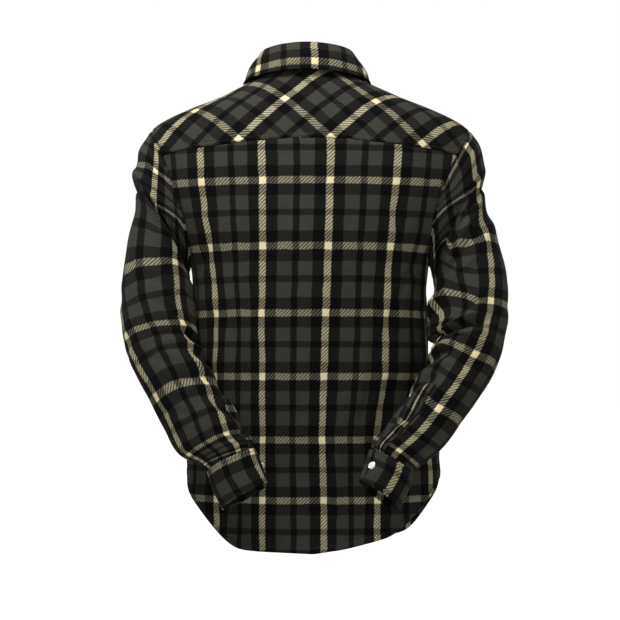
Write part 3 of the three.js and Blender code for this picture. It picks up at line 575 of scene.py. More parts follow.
def side_edge(side, end_step):
    """Up a side seam and round the armhole to a step of it, as a function of the share v."""
    towards = 1 if end_step < UNDERARM_STEP else -1

    def edge(v):
        up = v / SEAM_SHARE
        if up < 1:
            level = lerp(HEM_SIDE, ARMHOLE_ROWS[UNDERARM_STEP][1], up)
            return mirrored(side, towards * GAP_ANGLE, level)
        step = lerp(UNDERARM_STEP, end_step, (v - SEAM_SHARE) / (1 - SEAM_SHARE))
        angle, level = hole_place(step, side)
        turn = angle if side > 0 else 180 - angle
        return mirrored(side, towards * max(towards * turn, GAP_ANGLE), level)

    return edge


def patch(left, right, bottom, top):
    corners = (left(0), right(0), left(1), right(1))

    def at(u, v):
        sides = lerp(left(v), right(v), u)
        ends = lerp(bottom(u), top(u), v)
        return sides + ends - lerp(lerp(corners[0], corners[1], u), lerp(corners[2], corners[3], u), v)

    return at


def back_seam(u):
    right, left = hole_place(BACK_YOKE_STEP, -1), hole_place(BACK_YOKE_STEP, 1)
    ends = lerp(right[1], left[1], u)
    return np.array([lerp(right[0], left[0], u), lerp(ends, YOKE_BACK, math.sin(math.pi * u) ** 0.8)])


BELOW = np.array([0, -SEAM_GAP / 2])


def back_hem(u):
    angle = lerp(180 - GAP_ANGLE, GAP_ANGLE, u)
    return np.array([angle, float(hem_level(angle))])


right_side, left_side = side_edge(-1, BACK_YOKE_STEP), side_edge(1, BACK_YOKE_STEP)
back_at = patch(
    lambda v: right_side(v) + v * BELOW,
    lambda v: left_side(v) + v * BELOW,
    back_hem,
    lambda u: back_seam(min(max(u, 0), 1)) + BELOW,
)

YOKE_TOP, YOKE_CORNER = 0.09, 0.2
YOKE_NECKS = (YOKE_NECK_ANGLE, 4, 34)


def yoke_outer(u):
    side = 1 if u < 0.5 else -1
    share = min(u, 1 - u)
    if share <= YOKE_TOP:
        return hole_place(share / YOKE_TOP - 1, side)
    if share <= YOKE_CORNER:
        return hole_place((share - YOKE_TOP) / (YOKE_CORNER - YOKE_TOP) * BACK_YOKE_STEP, side)
    return back_seam(1 - (u - YOKE_CORNER) / (1 - 2 * YOKE_CORNER)) - BELOW


def yoke_neck(u):
    share = min(u, 1 - u)
    turn = np.interp(share, (0, YOKE_TOP, YOKE_CORNER, 0.5), (*YOKE_NECKS, 90))
    return mirrored(1 if u < 0.5 else -1, float(turn), 0)


def front_seam(t, side, gap):
    neck = mirrored(side, YOKE_NECK_ANGLE, 0)
    turn = math.degrees(1.4 * gap / lerp(150, 70, t))
    place = lerp(hole_place(FRONT_YOKE_STEP, side), neck, t)
    return place + np.array([side * turn, gap * 0.5 * (1 - t)])


def yoke_at(u, v):
    if u <= 0:
        return front_seam(v, 1, SEAM_GAP / 2)
    if u >= 1:
        return front_seam(v, -1, SEAM_GAP / 2)
    return lerp(yoke_outer(u), yoke_neck(u), v)


PLACKET_HALF = 17
PLACKET_PROUD = 1.2
UNDERLAP_REACH = 13
UNDERLAP_START = 56
UNDERLAP_FULL = 27


def front_level(v):
    return lerp(HEM_FRONT, 0, v**1.2)


def front_at(side, reach):
    def edge(level):
        angle = float(front_angle(side * reach, level))
        return np.array([angle if side > 0 else angle + 360, level])

    def hem(t):
        angle = lerp(-GAP_ANGLE if side > 0 else 180 + GAP_ANGLE, edge(HEM_FRONT)[0], t)
        return np.array([angle, float(hem_level(angle))])

    def top(t):
        if t < 0.5:
            return front_seam(2 * t, side, -SEAM_GAP / 2)
        start = front_seam(1, side, -SEAM_GAP / 2)[0]
        return np.array([lerp(start, edge(0)[0], 2 * t - 1), 0])

    outside = side_edge(side, FRONT_YOKE_STEP)
    seam_end = front_seam(0, side, -SEAM_GAP / 2)
    return patch(lambda v: outside(v) if v < 1 else seam_end, lambda v: edge(front_level(v)), hem, top)


def places(at, us, vs):
    """Angles and levels on a grid; its columns run to the right as seen from outside."""
    grid = np.array([[at(u, v) for u in us] for v in vs], float)
    return grid[..., 0], grid[..., 1]


print("corner of the back", np.round(back_at(0, 0), 1), "of the yoke", np.round(yoke_outer(0.5), 1))

# %% [markdown]
# Its upright stripes draw in a little towards the waist, as the cloth does, so their distances
# from the middle are given at a few heights.

# %% Where the check lies on the body
LEVEL_STRIPES = (-646.6, -556.7, -462.7, -369.6, -272.0, -176.0)
STRIPE_KEYS = ("at", "v0", "v1", "v2", "v3")
STRIPE_ROWS = [
    (-645, 141, 73, -19.7, -98),
    (-555, 141, 73, -16.1, -98),
    (-460, 141.8, 73.1, -19, -110.4),
    (-370, 138.9, 73.1, -21.9, -110.5),
    (-276, 149.1, 70.9, -24.9, -115.5),
    (-183, 160.8, 70.9, -27.8, -124.3),
    (-134, 163.7, 72.4, -29, -128.7),
]
stripes = table(STRIPE_KEYS, STRIPE_ROWS)


def follow(at, knots, values):
    """Linear through the knots, and on at REPEAT for each REPEAT beyond them."""
    inside = np.interp(at, knots, values)
    return inside + np.minimum(at - knots[0], 0) + np.maximum(at - knots[-1], 0)


def height_on_cloth(z):
    """How far up the cloth a height is: a level stripe lies at each whole repeat."""
    return follow(z, np.array(LEVEL_STRIPES), REPEAT * np.arange(len(LEVEL_STRIPES)))


def girth_length(angle, level, start=90.0, steps=24):
    """The distance along the body at a level from the start angle to another, above 0 to the right."""
    angle = np.asarray(angle, float)
    shares = np.linspace(0, 1, steps + 1)
    ways = [torso_point(start + (angle - start) * t, level, fine=False)[..., :2] for t in shares]
    length = sum(np.linalg.norm(b - a, axis=-1) for a, b in zip(ways, ways[1:]))
    return length * np.sign(angle - start)


def back_angle(x, level):
    power = torso_size["round"](level)
    across = x - torso_size["centre"](level)
    share = np.minimum(np.abs(across / torso_size["width"](level)), 0.999) ** power
    y = torso_size["back"](level) * (1 - share) ** (1 / power)
    return np.degrees(np.arctan2(y, across))


def back_cloth(angle, level, z):
    """Places on the back panel's cloth, in mm."""
    here = girth_length(angle, level)
    lines = []
    for key in STRIPE_KEYS[1:]:
        x = np.interp(z, stripes["at"], stripes[key])
        lines.append(girth_length(back_angle(x, level), level))
    across = here - lines[0]
    for i in range(3):
        share = np.clip((here - lines[i]) / (lines[i + 1] - lines[i]), 0, 1)
        inside = (here >= lines[i]) & (here <= lines[i + 1])
        across = np.where(inside, (i + share) * REPEAT, across)
    across = np.where(here > lines[3], 3 * REPEAT + here - lines[3], across)
    return np.stack([across, height_on_cloth(z)], axis=-1)


FRONT_STRIPE = 30.0


def front_cloth(angle, level, z):
    """Places on a front's cloth; an upright stripe lies at FRONT_STRIPE from the middle."""
    across = girth_length(np.where(angle > 90, angle - 360, angle), level, start=-90.0)
    return np.stack([across - FRONT_STRIPE, height_on_cloth(z)], axis=-1)


YOKE_CROSSING = 29.0


def over_shoulder(x, y, level, steps=32):
    """The distance up and over the shoulder from the back yoke seam, straight ahead."""
    across = np.abs(x - torso_size["centre"](level))
    levels = np.linspace(-150, 0, 301)
    widths = torso_size["width"](levels)
    ridge = np.interp(across, widths[::-1][:160], levels[::-1][:160])
    ridge = np.where(across <= widths[-1], 0, ridge)

    def run(depth, start, end):
        total = 0
        last = None
        for t in np.linspace(0, 1, steps + 1):
            at = start + (end - start) * t
            power = torso_size["round"](at)
            share = np.clip(across / torso_size["width"](at), 0, 1) ** power
            out = torso_size[depth](at) * (1 - share) ** (1 / power)
            lift = torso_size["front_lift"](at) if depth == "front" else 0 * at
            reach = np.maximum(np.hypot(across, out), 1)
            point = (out, at + lift * (out / reach) ** 2)
            if last is not None:
                total = total + np.hypot(point[0] - last[0], point[1] - last[1])
            last = point
        return total

    seam = YOKE_BACK - 18 * (np.abs(x) / 240) ** 3
    behind = run("back", seam, np.where(y > 0, level, ridge))
    ahead = run("front", ridge, np.minimum(level, ridge))
    return np.where(y > 0, behind, behind + ahead)


def yoke_cloth(point, level):
    """The yoke is cut on the bias, so the check stands on its corners."""
    across = -point[..., 0] - YOKE_CROSSING
    up = over_shoulder(point[..., 0], point[..., 1], level)
    return np.stack([across - up, across + up], axis=-1) / math.sqrt(2)


print("stripe heights on the cloth", np.round(height_on_cloth(np.array([-112.0, -700.0])), 0))

# %% [markdown]
# A sleeve is a tube that is cut wide at the top for the armhole and eased into it. Both elbows
# are bent, so the cloth is stretched outside the bend and pushed into deep creases inside it.
# Turns go round a sleeve from its outer edge (0) over its back (90) to the underarm (180).

# %% Sizes of the sleeves and cuffs
TUBE_KEYS = ("outer_x", "outer_z", "inner_x", "inner_z", "y", "deep")
LEFT_SLEEVE = [
    (273, -160, 188, -299, 4, 76),
    (268, -198, 186, -318, 15, 68),
    (279, -258, 184, -338, 32, 62),
    (285, -320, 180, -368, 51, 59),
    (284, -372, 174, -398, 68, 57),
    (279, -412, 166, -420, 80, 56),
    (265, -450, 154, -440, 92, 54),
    (239, -496, 136, -480, 108, 50),
    (214, -540, 113, -518, 123, 46),
    (192, -577, 97, -548, 135, 40),
    (160, -590, 88, -557, 142, 34),
]
RIGHT_SLEEVE = [
    (-268, -150, -188, -298, 4, 76),
    (-264, -188, -188, -316, 14, 68),
    (-281, -245, -189, -338, 28, 62),
    (-296, -308, -191, -366, 46, 59),
    (-297, -366, -191, -392, 63, 57),
    (-290, -402, -188, -411, 75, 55),
    (-280, -438, -180, -430, 87, 53),
    (-256, -482, -163, -462, 104, 49),
    (-224, -526, -140, -494, 120, 45),
    (-190, -568, -110, -534, 134, 40),
    (-157, -594, -89, -557, 142, 34),
]
LEFT_CUFF = [
    (151, -601, 84, -569, 145, 31),
    (141, -628, 74, -593, 151, 31),
    (128, -655, 64, -618, 157, 30),
]
RIGHT_CUFF = [
    (-149, -606, -84, -569, 145, 31),
    (-139, -631, -77, -590, 151, 31),
    (-127, -657, -69, -612, 157, 30),
]
TUCK_INWARDS = DOUBLED + LAP_GAP + 0.4
TUCK_ROWS = (-1, 4)
ROW_STEP = 45
TURN_RADIUS = 58

# %% [markdown]
# Creases of the sleeves: between two places, each a turn and a row of the sleeve's sizes. The
# large ones come first, as the solids have them, and then finer ones that run beside them.

# %% Creases of the sleeves
# Columns: turn, row, to_turn, to_row, depth, width, beside, bow.
LEFT_CREASES = [
    (-40, 0.5, 32, 0.5, 13, 11, 5, 0),
    (52, 0.45, 104, 0.35, 11, 10, 6, 0),
    (122, 0.4, 165, 0.6, 7, 10, 3, 0),
    (-30, -0.35, 45, -0.6, 6, 10, 1, 0),
    (150, 4.6, 205, 5.0, 9, 14, 5, 0),
    (155, 5.9, 210, 6.2, 8, 13, 4, 0),
    (140, 7.6, 190, 8.8, 5, 12, 3, 0),
    (250, 4.2, 300, 5.6, 5, 15, 3, 0),
    (165, 2, 180, 3.4, -6, 17, 0, 0),
]
RIGHT_CREASES = [
    (24, 1.5, 110, 2.1, 6, 12, 5, 0),
    (14, 0.7, 80, 1.1, 5, 13, 4, 0),
    (95, 4.9, 200, 4.9, 12, 14, 8, 0),
    (140, 6.3, 200, 6.6, 9, 12, 6, 0),
    (130, 7.3, 185, 7.9, 7, 11, 4, 0),
    (110, 8.3, 165, 9.3, 5, 11, 2, 0),
    (155, 2.9, 180, 4.1, -8, 17, 0, 0),
]
LEFT_FINE = [
    (-30, 0.66, 40, 0.64, 3.4, 3.6, 1.4, 0),
    (44, 0.62, 108, 0.46, 4.6, 3.4, 2.2, 2),
    (112, 0.48, 166, 0.74, 4.0, 3.6, 1.8, -2),
    (166, 0.9, 172, 2.2, 3.4, 4.5, 1.6, 2),
    (168, 1.5, 182, 3.0, -8, 17, 0, 0),
    (-10, -0.5, 58, -0.78, 2.4, 3.4, 1.2, 2),
    (60, -0.82, 96, -1.3, 2.4, 3.6, 1.4, 2),
    (60, 3.2, 118, 2.9, 2.2, 6, 1.6, 5),
    (100, 3.6, 150, 3.9, 3.0, 7, 2.0, -5),
    (95, 5.2, 150, 5.0, 3.4, 7, 2.2, 6),
    (60, 5.9, 120, 6.4, 2.0, 7, 1.4, -5),
    (95, 7.0, 150, 6.8, 3.0, 7, 2.0, 4),
    (50, 7.7, 100, 8.3, 2.2, 7, 1.5, 5),
    (100, 8.6, 160, 9.1, 2.6, 6, 1.8, -4),
    (40, 9.3, 95, 9.8, 2.2, 6, 1.5, 3),
    (200, 5.4, 250, 5.0, 3.0, 7, 2.0, 5),
    (215, 6.7, 262, 6.4, 2.6, 7, 1.8, -4),
    (220, 8.3, 270, 8.8, 2.4, 7, 1.6, 4),
    (300, 1.5, 345, 2.3, 2.4, 9, 1.6, 5),
    (255, 2.2, 215, 3.4, 3.2, 9, 2.0, -6),
    (-15, 3.4, 25, 3.9, 1.8, 9, 1.2, 5),
    (10, 5.6, 45, 5.1, 1.6, 9, 1.1, -5),
]
RIGHT_FINE = [
    (158, 2.5, 182, 3.8, -13, 17, 0, 0),
    (120, 4.35, 175, 4.5, 4.0, 4, 2.0, 3),
    (55, 3.1, 115, 2.7, 2.4, 6, 1.6, 5),
    (88, 3.8, 150, 4.35, 5.0, 5, 3.0, -5),
    (60, 4.6, 120, 4.7, 2.6, 7, 1.8, -4),
    (80, 5.7, 145, 5.6, 3.2, 7, 2.2, 5),
    (45, 6.2, 95, 6.7, 2.0, 7, 1.4, -5),
    (85, 7.2, 130, 6.9, 3.0, 7, 2.0, 4),
    (40, 7.9, 100, 8.1, 2.2, 7, 1.5, 5),
    (70, 9.0, 115, 9.3, 2.6, 6, 1.8, -4),
    (35, 9.6, 90, 9.9, 2.0, 6, 1.4, 3),
    (200, 5.5, 250, 5.2, 3.0, 7, 2.0, 5),
    (205, 7.2, 262, 6.8, 2.6, 7, 1.8, -4),
    (215, 8.5, 275, 9.0, 2.4, 7, 1.6, 4),
    (300, 1.7, 345, 2.5, 2.4, 9, 1.6, 5),
    (250, 2.0, 215, 3.2, 3.2, 9, 2.0, -6),
    (-20, 3.6, 20, 4.2, 1.8, 9, 1.2, 5),
]


def sleeve_crease(rows, turn, row):
    """Push of the sleeve's creases at turns and a row; they are measured the short way round."""
    total = 0
    for t0, r0, t1, r1, depth, width, beside, bow in rows:
        end = (math.radians(t1 - t0) * TURN_RADIUS, (r1 - r0) * ROW_STEP)
        away = (turn - t0 + 180) % 360 - 180
        x = np.radians(away) * TURN_RADIUS
        y = (row - r0) * ROW_STEP + 0 * x
        total = total + crease_push([(0, 0, *end, depth, width, beside, bow)], x, y)
    return total


def tube_column(rows, key):
    return np.array([row[TUBE_KEYS.index(key)] for row in rows], float)


def tube_middles(rows):
    x = (tube_column(rows, "outer_x") + tube_column(rows, "inner_x")) / 2
    z = (tube_column(rows, "outer_z") + tube_column(rows, "inner_z")) / 2
    return np.stack([x, tube_column(rows, "y"), z], axis=-1)


def section_points(rows, i, turn):
    """Points of section i of a sleeve or cuff at the turns, which are an array."""
    middles = tube_middles(rows)
    last = len(rows) - 1
    half_x = (tube_column(rows, "outer_x")[i] - tube_column(rows, "inner_x")[i]) / 2
    half_z = (tube_column(rows, "outer_z")[i] - tube_column(rows, "inner_z")[i]) / 2
    outwards = np.array([half_x, 0, half_z])
    along = unit(middles[min(last, i + 1)] - middles[max(0, i - 1)])
    backwards = unit(np.array([0, 1, 0]) - along * along[1]) * rows[i][TUBE_KEYS.index("deep")]
    turn = np.radians(turn)[..., None]
    return middles[i] + outwards * np.cos(turn) + backwards * np.sin(turn)


def through(points, t):
    """A smooth line through a list of points, or of arrays of points."""
    last = len(points) - 1
    i = min(int(math.floor(t)), last - 1)

    def at(k):
        if k < 0:
            return 2 * points[0] - points[1]
        return 2 * points[last] - points[last - 1] if k > last else points[k]

    return spline(at(i - 1), at(i), at(i + 1), at(i + 2), t - i)


def tucked(rows, cuff_rows):
    """A sleeve's sizes with its end inside the cuff."""
    middles = tube_middles(cuff_rows)
    down = unit(middles[-1] - middles[0])
    first = cuff_rows[0]
    across = unit(np.array([first[0] - first[2], first[1] - first[3]], float)) * TUCK_INWARDS
    ends = []
    for by in TUCK_ROWS:
        dx, dy, dz = down * by
        outer = (first[0] - across[0] + dx, first[1] - across[1] + dz)
        inner = (first[2] + across[0] + dx, first[3] + across[1] + dz)
        ends.append((*outer, *inner, first[4] + dy, first[5] - TUCK_INWARDS))
    return rows + ends


CLEAR_SOFTNESS = 5
SLEEVE_CLEAR = 1.6
CAP_BULGE = 9
CAP_SHARE = 0.42
ARMHOLE_MIDDLE = -190
ARMHOLE_PULL = 0.008


def torso_reach(angle, level, fine=False):
    p = torso_point(angle, level, fine)
    return np.hypot(p[..., 0] - torso_size["centre"](level), p[..., 1])


def clear_of_torso(p, clear):
    centre = torso_size["centre"](p[..., 2])
    across = p[..., 0] - centre
    reach = torso_reach(np.degrees(np.arctan2(p[..., 1], across)), p[..., 2])
    own = np.hypot(across, p[..., 1])
    past = own - reach - clear
    soft = CLEAR_SOFTNESS * np.exp(np.minimum(past, CLEAR_SOFTNESS) / CLEAR_SOFTNESS - 1)
    scale = np.where(past > CLEAR_SOFTNESS, 1, (reach + clear + soft) / own)
    return np.stack([centre + across * scale, p[..., 1] * scale, p[..., 2]], axis=-1)


def armhole_seam(turn, side):
    """Angle and level of the armhole as the sleeve meets it, at turns."""
    angle, level = armhole_place((turn / 30) % 12, side)
    middle = 0 if side > 0 else 180
    return lerp(angle, middle, ARMHOLE_PULL), lerp(level, ARMHOLE_MIDDLE, ARMHOLE_PULL)


def sleeve_points(rows, large, fine, side, turn, row, seed):
    """A sleeve's outer surface at an array of turns and one row; row -2 is the armhole."""
    angle, level = armhole_seam(turn, side)
    hole = torso_point(angle, level, fine=False)
    first = section_points(rows, 0, turn)
    lifted = (0.5 + 0.5 * np.cos(np.radians(turn)))[..., None]
    cap = lerp(hole, first, CAP_SHARE)
    cap = cap + torso_normal(angle, level) * CAP_BULGE * (0.35 + lifted) * 0.6
    p = through([hole, cap] + [section_points(rows, i, turn) for i in range(len(rows))], row + 2)
    near, end = smooth((row + 2) / 1.6), 1 - smooth(row - len(rows) + 4)
    middle = tube_middles(rows)[int(np.clip(round(row), 0, len(rows) - 1))]
    push = sleeve_crease(large, turn, row) + sleeve_crease(fine, turn, row)
    around = np.radians(turn) * TURN_RADIUS
    ripple = 1.15 * slow_waves(TURN_RADIUS * np.sin(around / TURN_RADIUS) * 1.6, row * ROW_STEP, seed)
    p = p + unit(p - middle) * (near * end * (push + ripple))[..., None]
    return p if row <= -2 else clear_of_torso(p, SLEEVE_CLEAR * smooth((row + 2) / 0.5))


print("left cuff ring", np.round(section_points(LEFT_CUFF, 1, np.array([0.0, 90, 180])), 0).tolist())

# %% Where the check lies on the sleeves
ROWS_AT = (-2, -1.2, -0.2, 0.8, 1.2, 2.4, 3.6, 5, 6.9, 8.9, 10.7)
LEFT_STRIPES = (
    (-40, -40, -38, -34, -24, -14, 4, 34, 45, 45, 28),
    (124, 124, 124, 124, 124, 130, 136, 142, 141, 129, 123),
)
CAP_STRIPES = (
    (-40, -40, -38, -38, -38, -38, -38, -38, -38, -38, -38),
    (45, 69, 88, 89, 89, 89, 89, 89, 89, 89, 89),
    (150, 170, 190, 190, 190, 190, 190, 190, 190, 190, 190),
)
RIGHT_STRIPES = (
    (42, 46, 62, 38, 44, 52, 66, 75, 88, 93, 98),
    (129, 150, 168, 170, 166, 155, 150, 162, 182, 195, 203),
)
RING_TURNS = (0, 45, 70, 90, 115, 145, 190)
CAP_RINGS = [
    (-0.3, -0.7, -1.2, -2.3, -3.4, -4.4, -4.4),
    (1.4, 1.3, 1.0, 0.4, -1.7, -3.2, -3.2),
    (2.9, 2.8, 2.6, 2.4, 1.9, 1.2, 0.9),
]
LEFT_RINGS = [
    (-1.9, -1.9, -1.9, -2.0, -2.4, -3.0, -3.2),
    (0.5, 0.5, 0.45, 0.3, -0.2, -0.9, -1.1),
    (2.9, 2.8, 2.6, 2.4, 1.9, 1.2, 0.9),
    (5.1, 5.0, 4.85, 4.65, 4.4, 4.0, 3.9),
    (7.2, 7.2, 7.1, 7.0, 6.95, 6.9, 6.9),
    (9.4, 9.4, 9.3, 9.2, 9.0, 8.9, 8.9),
    (10.3, 10.4, 10.5, 10.6, 10.7, 10.75, 10.8),
]
RIGHT_RINGS = [
    (-1.9, -1.95, -1.8, -1.95, -3.0, -4.0, -4.0),
    (0.7, 0.6, 0.35, -0.3, -2.0, -3.0, -3.0),
    (2.3, 2.2, 2.1, 1.85, 1.4, -1.0, -1.2),
    (4.0, 4.0, 3.9, 3.85, 3.3, 2.6, 2.4),
    (6.4, 6.4, 6.4, 6.35, 6.1, 5.7, 5.6),
    (8.2, 8.2, 8.2, 8.2, 8.1, 7.9, 7.9),
    (10.1, 10.1, 10.05, 10.0, 9.9, 9.8, 9.8),
]


def ring_index(rings, turn, row):
    """Which ring of the check lies at turns and a row, counted down the arm with parts of one."""
    at = [np.interp(turn, RING_TURNS, ring) for ring in rings]
    index = np.zeros(np.shape(turn))
    last = len(rings) - 1
    for i in range(last):
        share = (row - at[i]) / (at[i + 1] - at[i])
        low = -9 if i == 0 else 0
        high = 9 if i == last - 1 else 1
        index = np.where((share >= low) & (share < high), i + share, index)
    return index


def along_ring(points):
    """Distances along rows of points, from the first column."""
    steps = np.linalg.norm(np.diff(points, axis=1), axis=-1)
    return np.concatenate([np.zeros((len(points), 1)), np.cumsum(steps, axis=1)], axis=1)


def places_between(points, turns, steps, side, stripes, rings):
    """Places on the cloth from the stripes and rings. turns rise along a row, steps are the rows."""
    cloth = np.zeros((*points.shape[:2], 2))
    length = along_ring(points)
    for j, row in enumerate(steps):
        ends = [np.interp(np.interp(row, ROWS_AT, line), turns, length[j]) for line in stripes]
        across = follow(length[j], np.array(ends), REPEAT * np.arange(len(stripes)))
        cloth[j, :, 0] = side * across
        cloth[j, :, 1] = -REPEAT * ring_index(rings, turns, row)
    return cloth


FOLD_TURNS = (-60, -40, 40, 75, 108, 166, 180)
FOLD_AT = (0.4, 0.66, 0.64, 0.54, 0.46, 0.74, 0.8)


def sleeve_cloth(points, turns, steps, side):
    """Places on a sleeve's cloth. The left cap hangs over in a fold that hides some of its check."""
    if side < 0:
        return places_between(points, turns, steps, side, RIGHT_STRIPES, RIGHT_RINGS)
    below = places_between(points, turns, steps, side, LEFT_STRIPES, LEFT_RINGS)
    above = places_between(points, turns, steps, side, CAP_STRIPES, CAP_RINGS)
    past = np.asarray(steps)[:, None] - np.interp(turns, FOLD_TURNS, FOLD_AT)[None]
    return lerp(above, below, smooth(past / 0.1 + 0.5)[..., None])


behind = ring_index(RIGHT_RINGS, np.array([90.0]), 4.0)
print("rings at the back of the right sleeve", np.round(behind, 2))

# %% [markdown]
# The cuffs are doubled strips whose one end laps over the other and is closed by a snap. The
# collar has two parts: a stand round the neck, and the leaf that folds down over it.

# %% Cuffs and collar
CUFF_LAP = 34
LEFT_CUFF_START = 160
RIGHT_CUFF_START = 110
STAND_HEIGHT = 34
STAND_FRONT_HEIGHT = 30
STAND_LEAN = 5
STAND_FOOT = 0.6
STAND_SPREAD = 11
STAND_SINK = 28
LEAF_KEYS = ("at", "edge", "out", "height")
LEAF_ROWS = [
    (-77, -62, 46, -108),
    (-62, -50, 42, -82),
    (-44, -38, 36, -50),
    (-20, -18, 32, -24),
    (5, 4, 29, -10),
    (40, 40, 22, -3),
    (90, 90, 18, 1),
]
LEAF_ROLL = 4.6
LEAF_ENDS = 77
LEAF_LIFT = 6.4
leaf_table = table(LEAF_KEYS, LEAF_ROWS)
leaf_size = {key: column(leaf_table, key) for key in LEAF_KEYS[1:]}


def cuff_points(rows, start, turn, v):
    """The cuff's outer surface at turns and a share v of the way down it."""
    over = (DOUBLED + LAP_GAP) * smooth((turn - start - 300) / 50)
    p = through([section_points(rows, i, turn) for i in range(len(rows))], v * (len(rows) - 1))
    out = unit(section_points(rows, 1, turn) - tube_middles(rows)[1])
    return p + out * over[..., None]


def level_unit(p):
    flat = p * np.array([1, 1, 0])
    return unit(flat)


def stand_points(angle, v):
    foot = torso_point(angle, np.zeros_like(angle), fine=False)
    s = np.sin(np.radians(angle))
    height = lerp(STAND_HEIGHT, STAND_FRONT_HEIGHT, smooth((-s - 0.2) / 0.8))
    under = smooth((angle - (270 - STAND_SINK)) / (STAND_SINK - STAND_SPREAD))
    inwards = STAND_LEAN * v + under * (DOUBLED + LAP_GAP)
    rise = np.stack([0 * s, 0 * s, STAND_FOOT + v * height], axis=-1)
    return foot - level_unit(foot) * inwards[..., None] + rise


def torso_height(x, y):
    """The height of the shoulders and chest at places outside the neckline."""
    low, high = np.full(x.shape, -150.0), np.zeros(x.shape)
    for _ in range(24):
        level = (low + high) / 2
        across = x - torso_size["centre"](level)
        outside = torso_reach(np.degrees(np.arctan2(y, across)), level) > np.hypot(across, y)
        low, high = np.where(outside, level, low), np.where(outside, high, level)
    across = x - torso_size["centre"](low)
    return torso_point(np.degrees(np.arctan2(y, across)), low, fine=False)[..., 2]


def leaf_points(angle, v):
    """The leaf's outer surface; v runs from the stand (0) over the fold to the edge (1)."""
    half = np.where(angle <= 90, angle, 180 - angle)
    top = stand_points(angle, 1.0)
    edge_angle = np.where(angle <= 90, leaf_size["edge"](half), 180 - leaf_size["edge"](half))
    foot = torso_point(edge_angle, np.zeros_like(angle), fine=False)
    height = leaf_size["height"](half)
    edge = level_unit(foot) * leaf_size["out"](half)[..., None] + foot
    edge[..., 2] = height
    out, up = level_unit(top), np.array([0, 0, 1])
    sewn = top + up * SEAM_GAP
    crown = sewn + out * LEAF_ROLL + up * LEAF_ROLL
    down = sewn + out * (2 * LEAF_ROLL + 2) - up * LEAF_ROLL * 0.8
    middle = lerp(down, edge, 0.5) + out * 3
    p = through([sewn, crown, down, middle, edge], v * 4)
    if v < 0.45:
        return p
    least = torso_height(p[..., 0], p[..., 1]) + LEAF_LIFT
    past = np.minimum(p[..., 2] - least, CLEAR_SOFTNESS)
    lifted = least + CLEAR_SOFTNESS * np.exp(past / CLEAR_SOFTNESS - 1)
    p[..., 2] = np.where(p[..., 2] - least > CLEAR_SOFTNESS, p[..., 2], lifted)
    return p


print("leaf edge at the back", np.round(leaf_points(np.array([90.0]), 1.0), 0).tolist())

# %% [markdown]
# One layer of this flannel is a little over 2 mm thick. A sheet starts as its outer face only;
# it is then thickened inwards and rounded once, so the cut edges look folded and not sharp.

# %% From points to cloth


def grid_normals(points):
    across = np.gradient(points, axis=1)
    up = np.gradient(points, axis=0)
    return unit(np.cross(across, up))


def apply_all(piece):
    bpy.ops.object.select_all(action="DESELECT")
    piece.select_set(True)
    bpy.context.view_layer.objects.active = piece
    for modifier in list(piece.modifiers):
        bpy.ops.object.modifier_apply(modifier=modifier.name)


def sheet_piece(name, points, cloth, thick, material, closed=False, rounds=1):
    """A sheet of cloth through a grid of points in mm, with its places on the cloth in mm."""
    rows, cols = points.shape[:2]
    spans = cols - 1
    own = spans if closed else cols
    flat = (points[:, :own] * MM).reshape(-1, 3)
    j, i = np.mgrid[0 : rows - 1, 0:spans]
    corners = [(j, i), (j, i + 1), (j + 1, i + 1), (j + 1, i)]
    quads = np.stack([(a * own + b % own).ravel() for a, b in corners], axis=-1)
    mesh = bpy.data.meshes.new(name)
    mesh.from_pydata(flat.tolist(), [], quads.tolist())
    places = np.stack([cloth[a, b] for a, b in corners], axis=2).reshape(-1, 2) * MM
    layer = mesh.uv_layers.new(name="cloth")
    layer.data.foreach_set("uv", places.ravel())
    mesh.materials.append(material)
    mesh.validate()
    piece = bpy.data.objects.new(name, mesh)
    bpy.context.scene.collection.objects.link(piece)
    wall = piece.modifiers.new("wall", "SOLIDIFY")
    wall.thickness = thick * MM
    wall.offset = -1
    wall.use_even_offset = True
    wall.thickness_clamp = 1.2
    if rounds:
        soft = piece.modifiers.new("soft", "SUBSURF")
        soft.levels = soft.render_levels = rounds
        soft.uv_smooth = "PRESERVE_BOUNDARIES"
    apply_all(piece)
    bpy.ops.object.shade_smooth()
    print(name, len(piece.data.polygons), "faces")
    return piece


def fit_on_body(piece, nodes):
    """The finished piece takes the place of its solids and goes with the shirt."""
    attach(piece, "root")
    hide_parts(*nodes)


print("wall of one layer", CLOTH, "mm, of two", DOUBLED, "mm")

# %% [markdown]
# Sewing shows as relief. A seam is a groove with the turned-in cloth standing up beside it, a hem
# is a narrow band that is twice as thick, and the thread gathers the cloth into small puckers.

# %% Edges, seams and hems
NEAR_EDGE = (0, 1.3, 2.8, 4.4, 6.2, 7.8, 9.2, 11, 13.5, 17)
FELL = 7.5
HEM_BAND = 9.5
STITCH_BEATS = ((1.9, 1), (3.1, 2.3), (5.3, 4.1))


def shares(length, step, start=True, end=True):
    """Shares of a length in mm, closer together near the ends that are sewn."""
    low = [d for d in NEAR_EDGE] if start else [0]
    high = [length - d for d in NEAR_EDGE][::-1] if end else [length]
    count = max(2, round((high[0] - low[-1]) / step))
    middle = np.linspace(low[-1], high[0], count + 1)[1:-1]
    return np.array([*low, *middle, *high]) / length


def edge_distances(points):
    """Distances in mm from the bottom, the top, the left and the right edge of a grid."""
    along = along_ring(points)
    up = along_ring(points.transpose(1, 0, 2)).T
    return {"bottom": up, "top": up[-1:] - up, "left": along, "right": along[:, -1:] - along}


def groove(d, at, depth, width=1.4):
    return -depth * np.exp(-(((d - at) / width) ** 2))


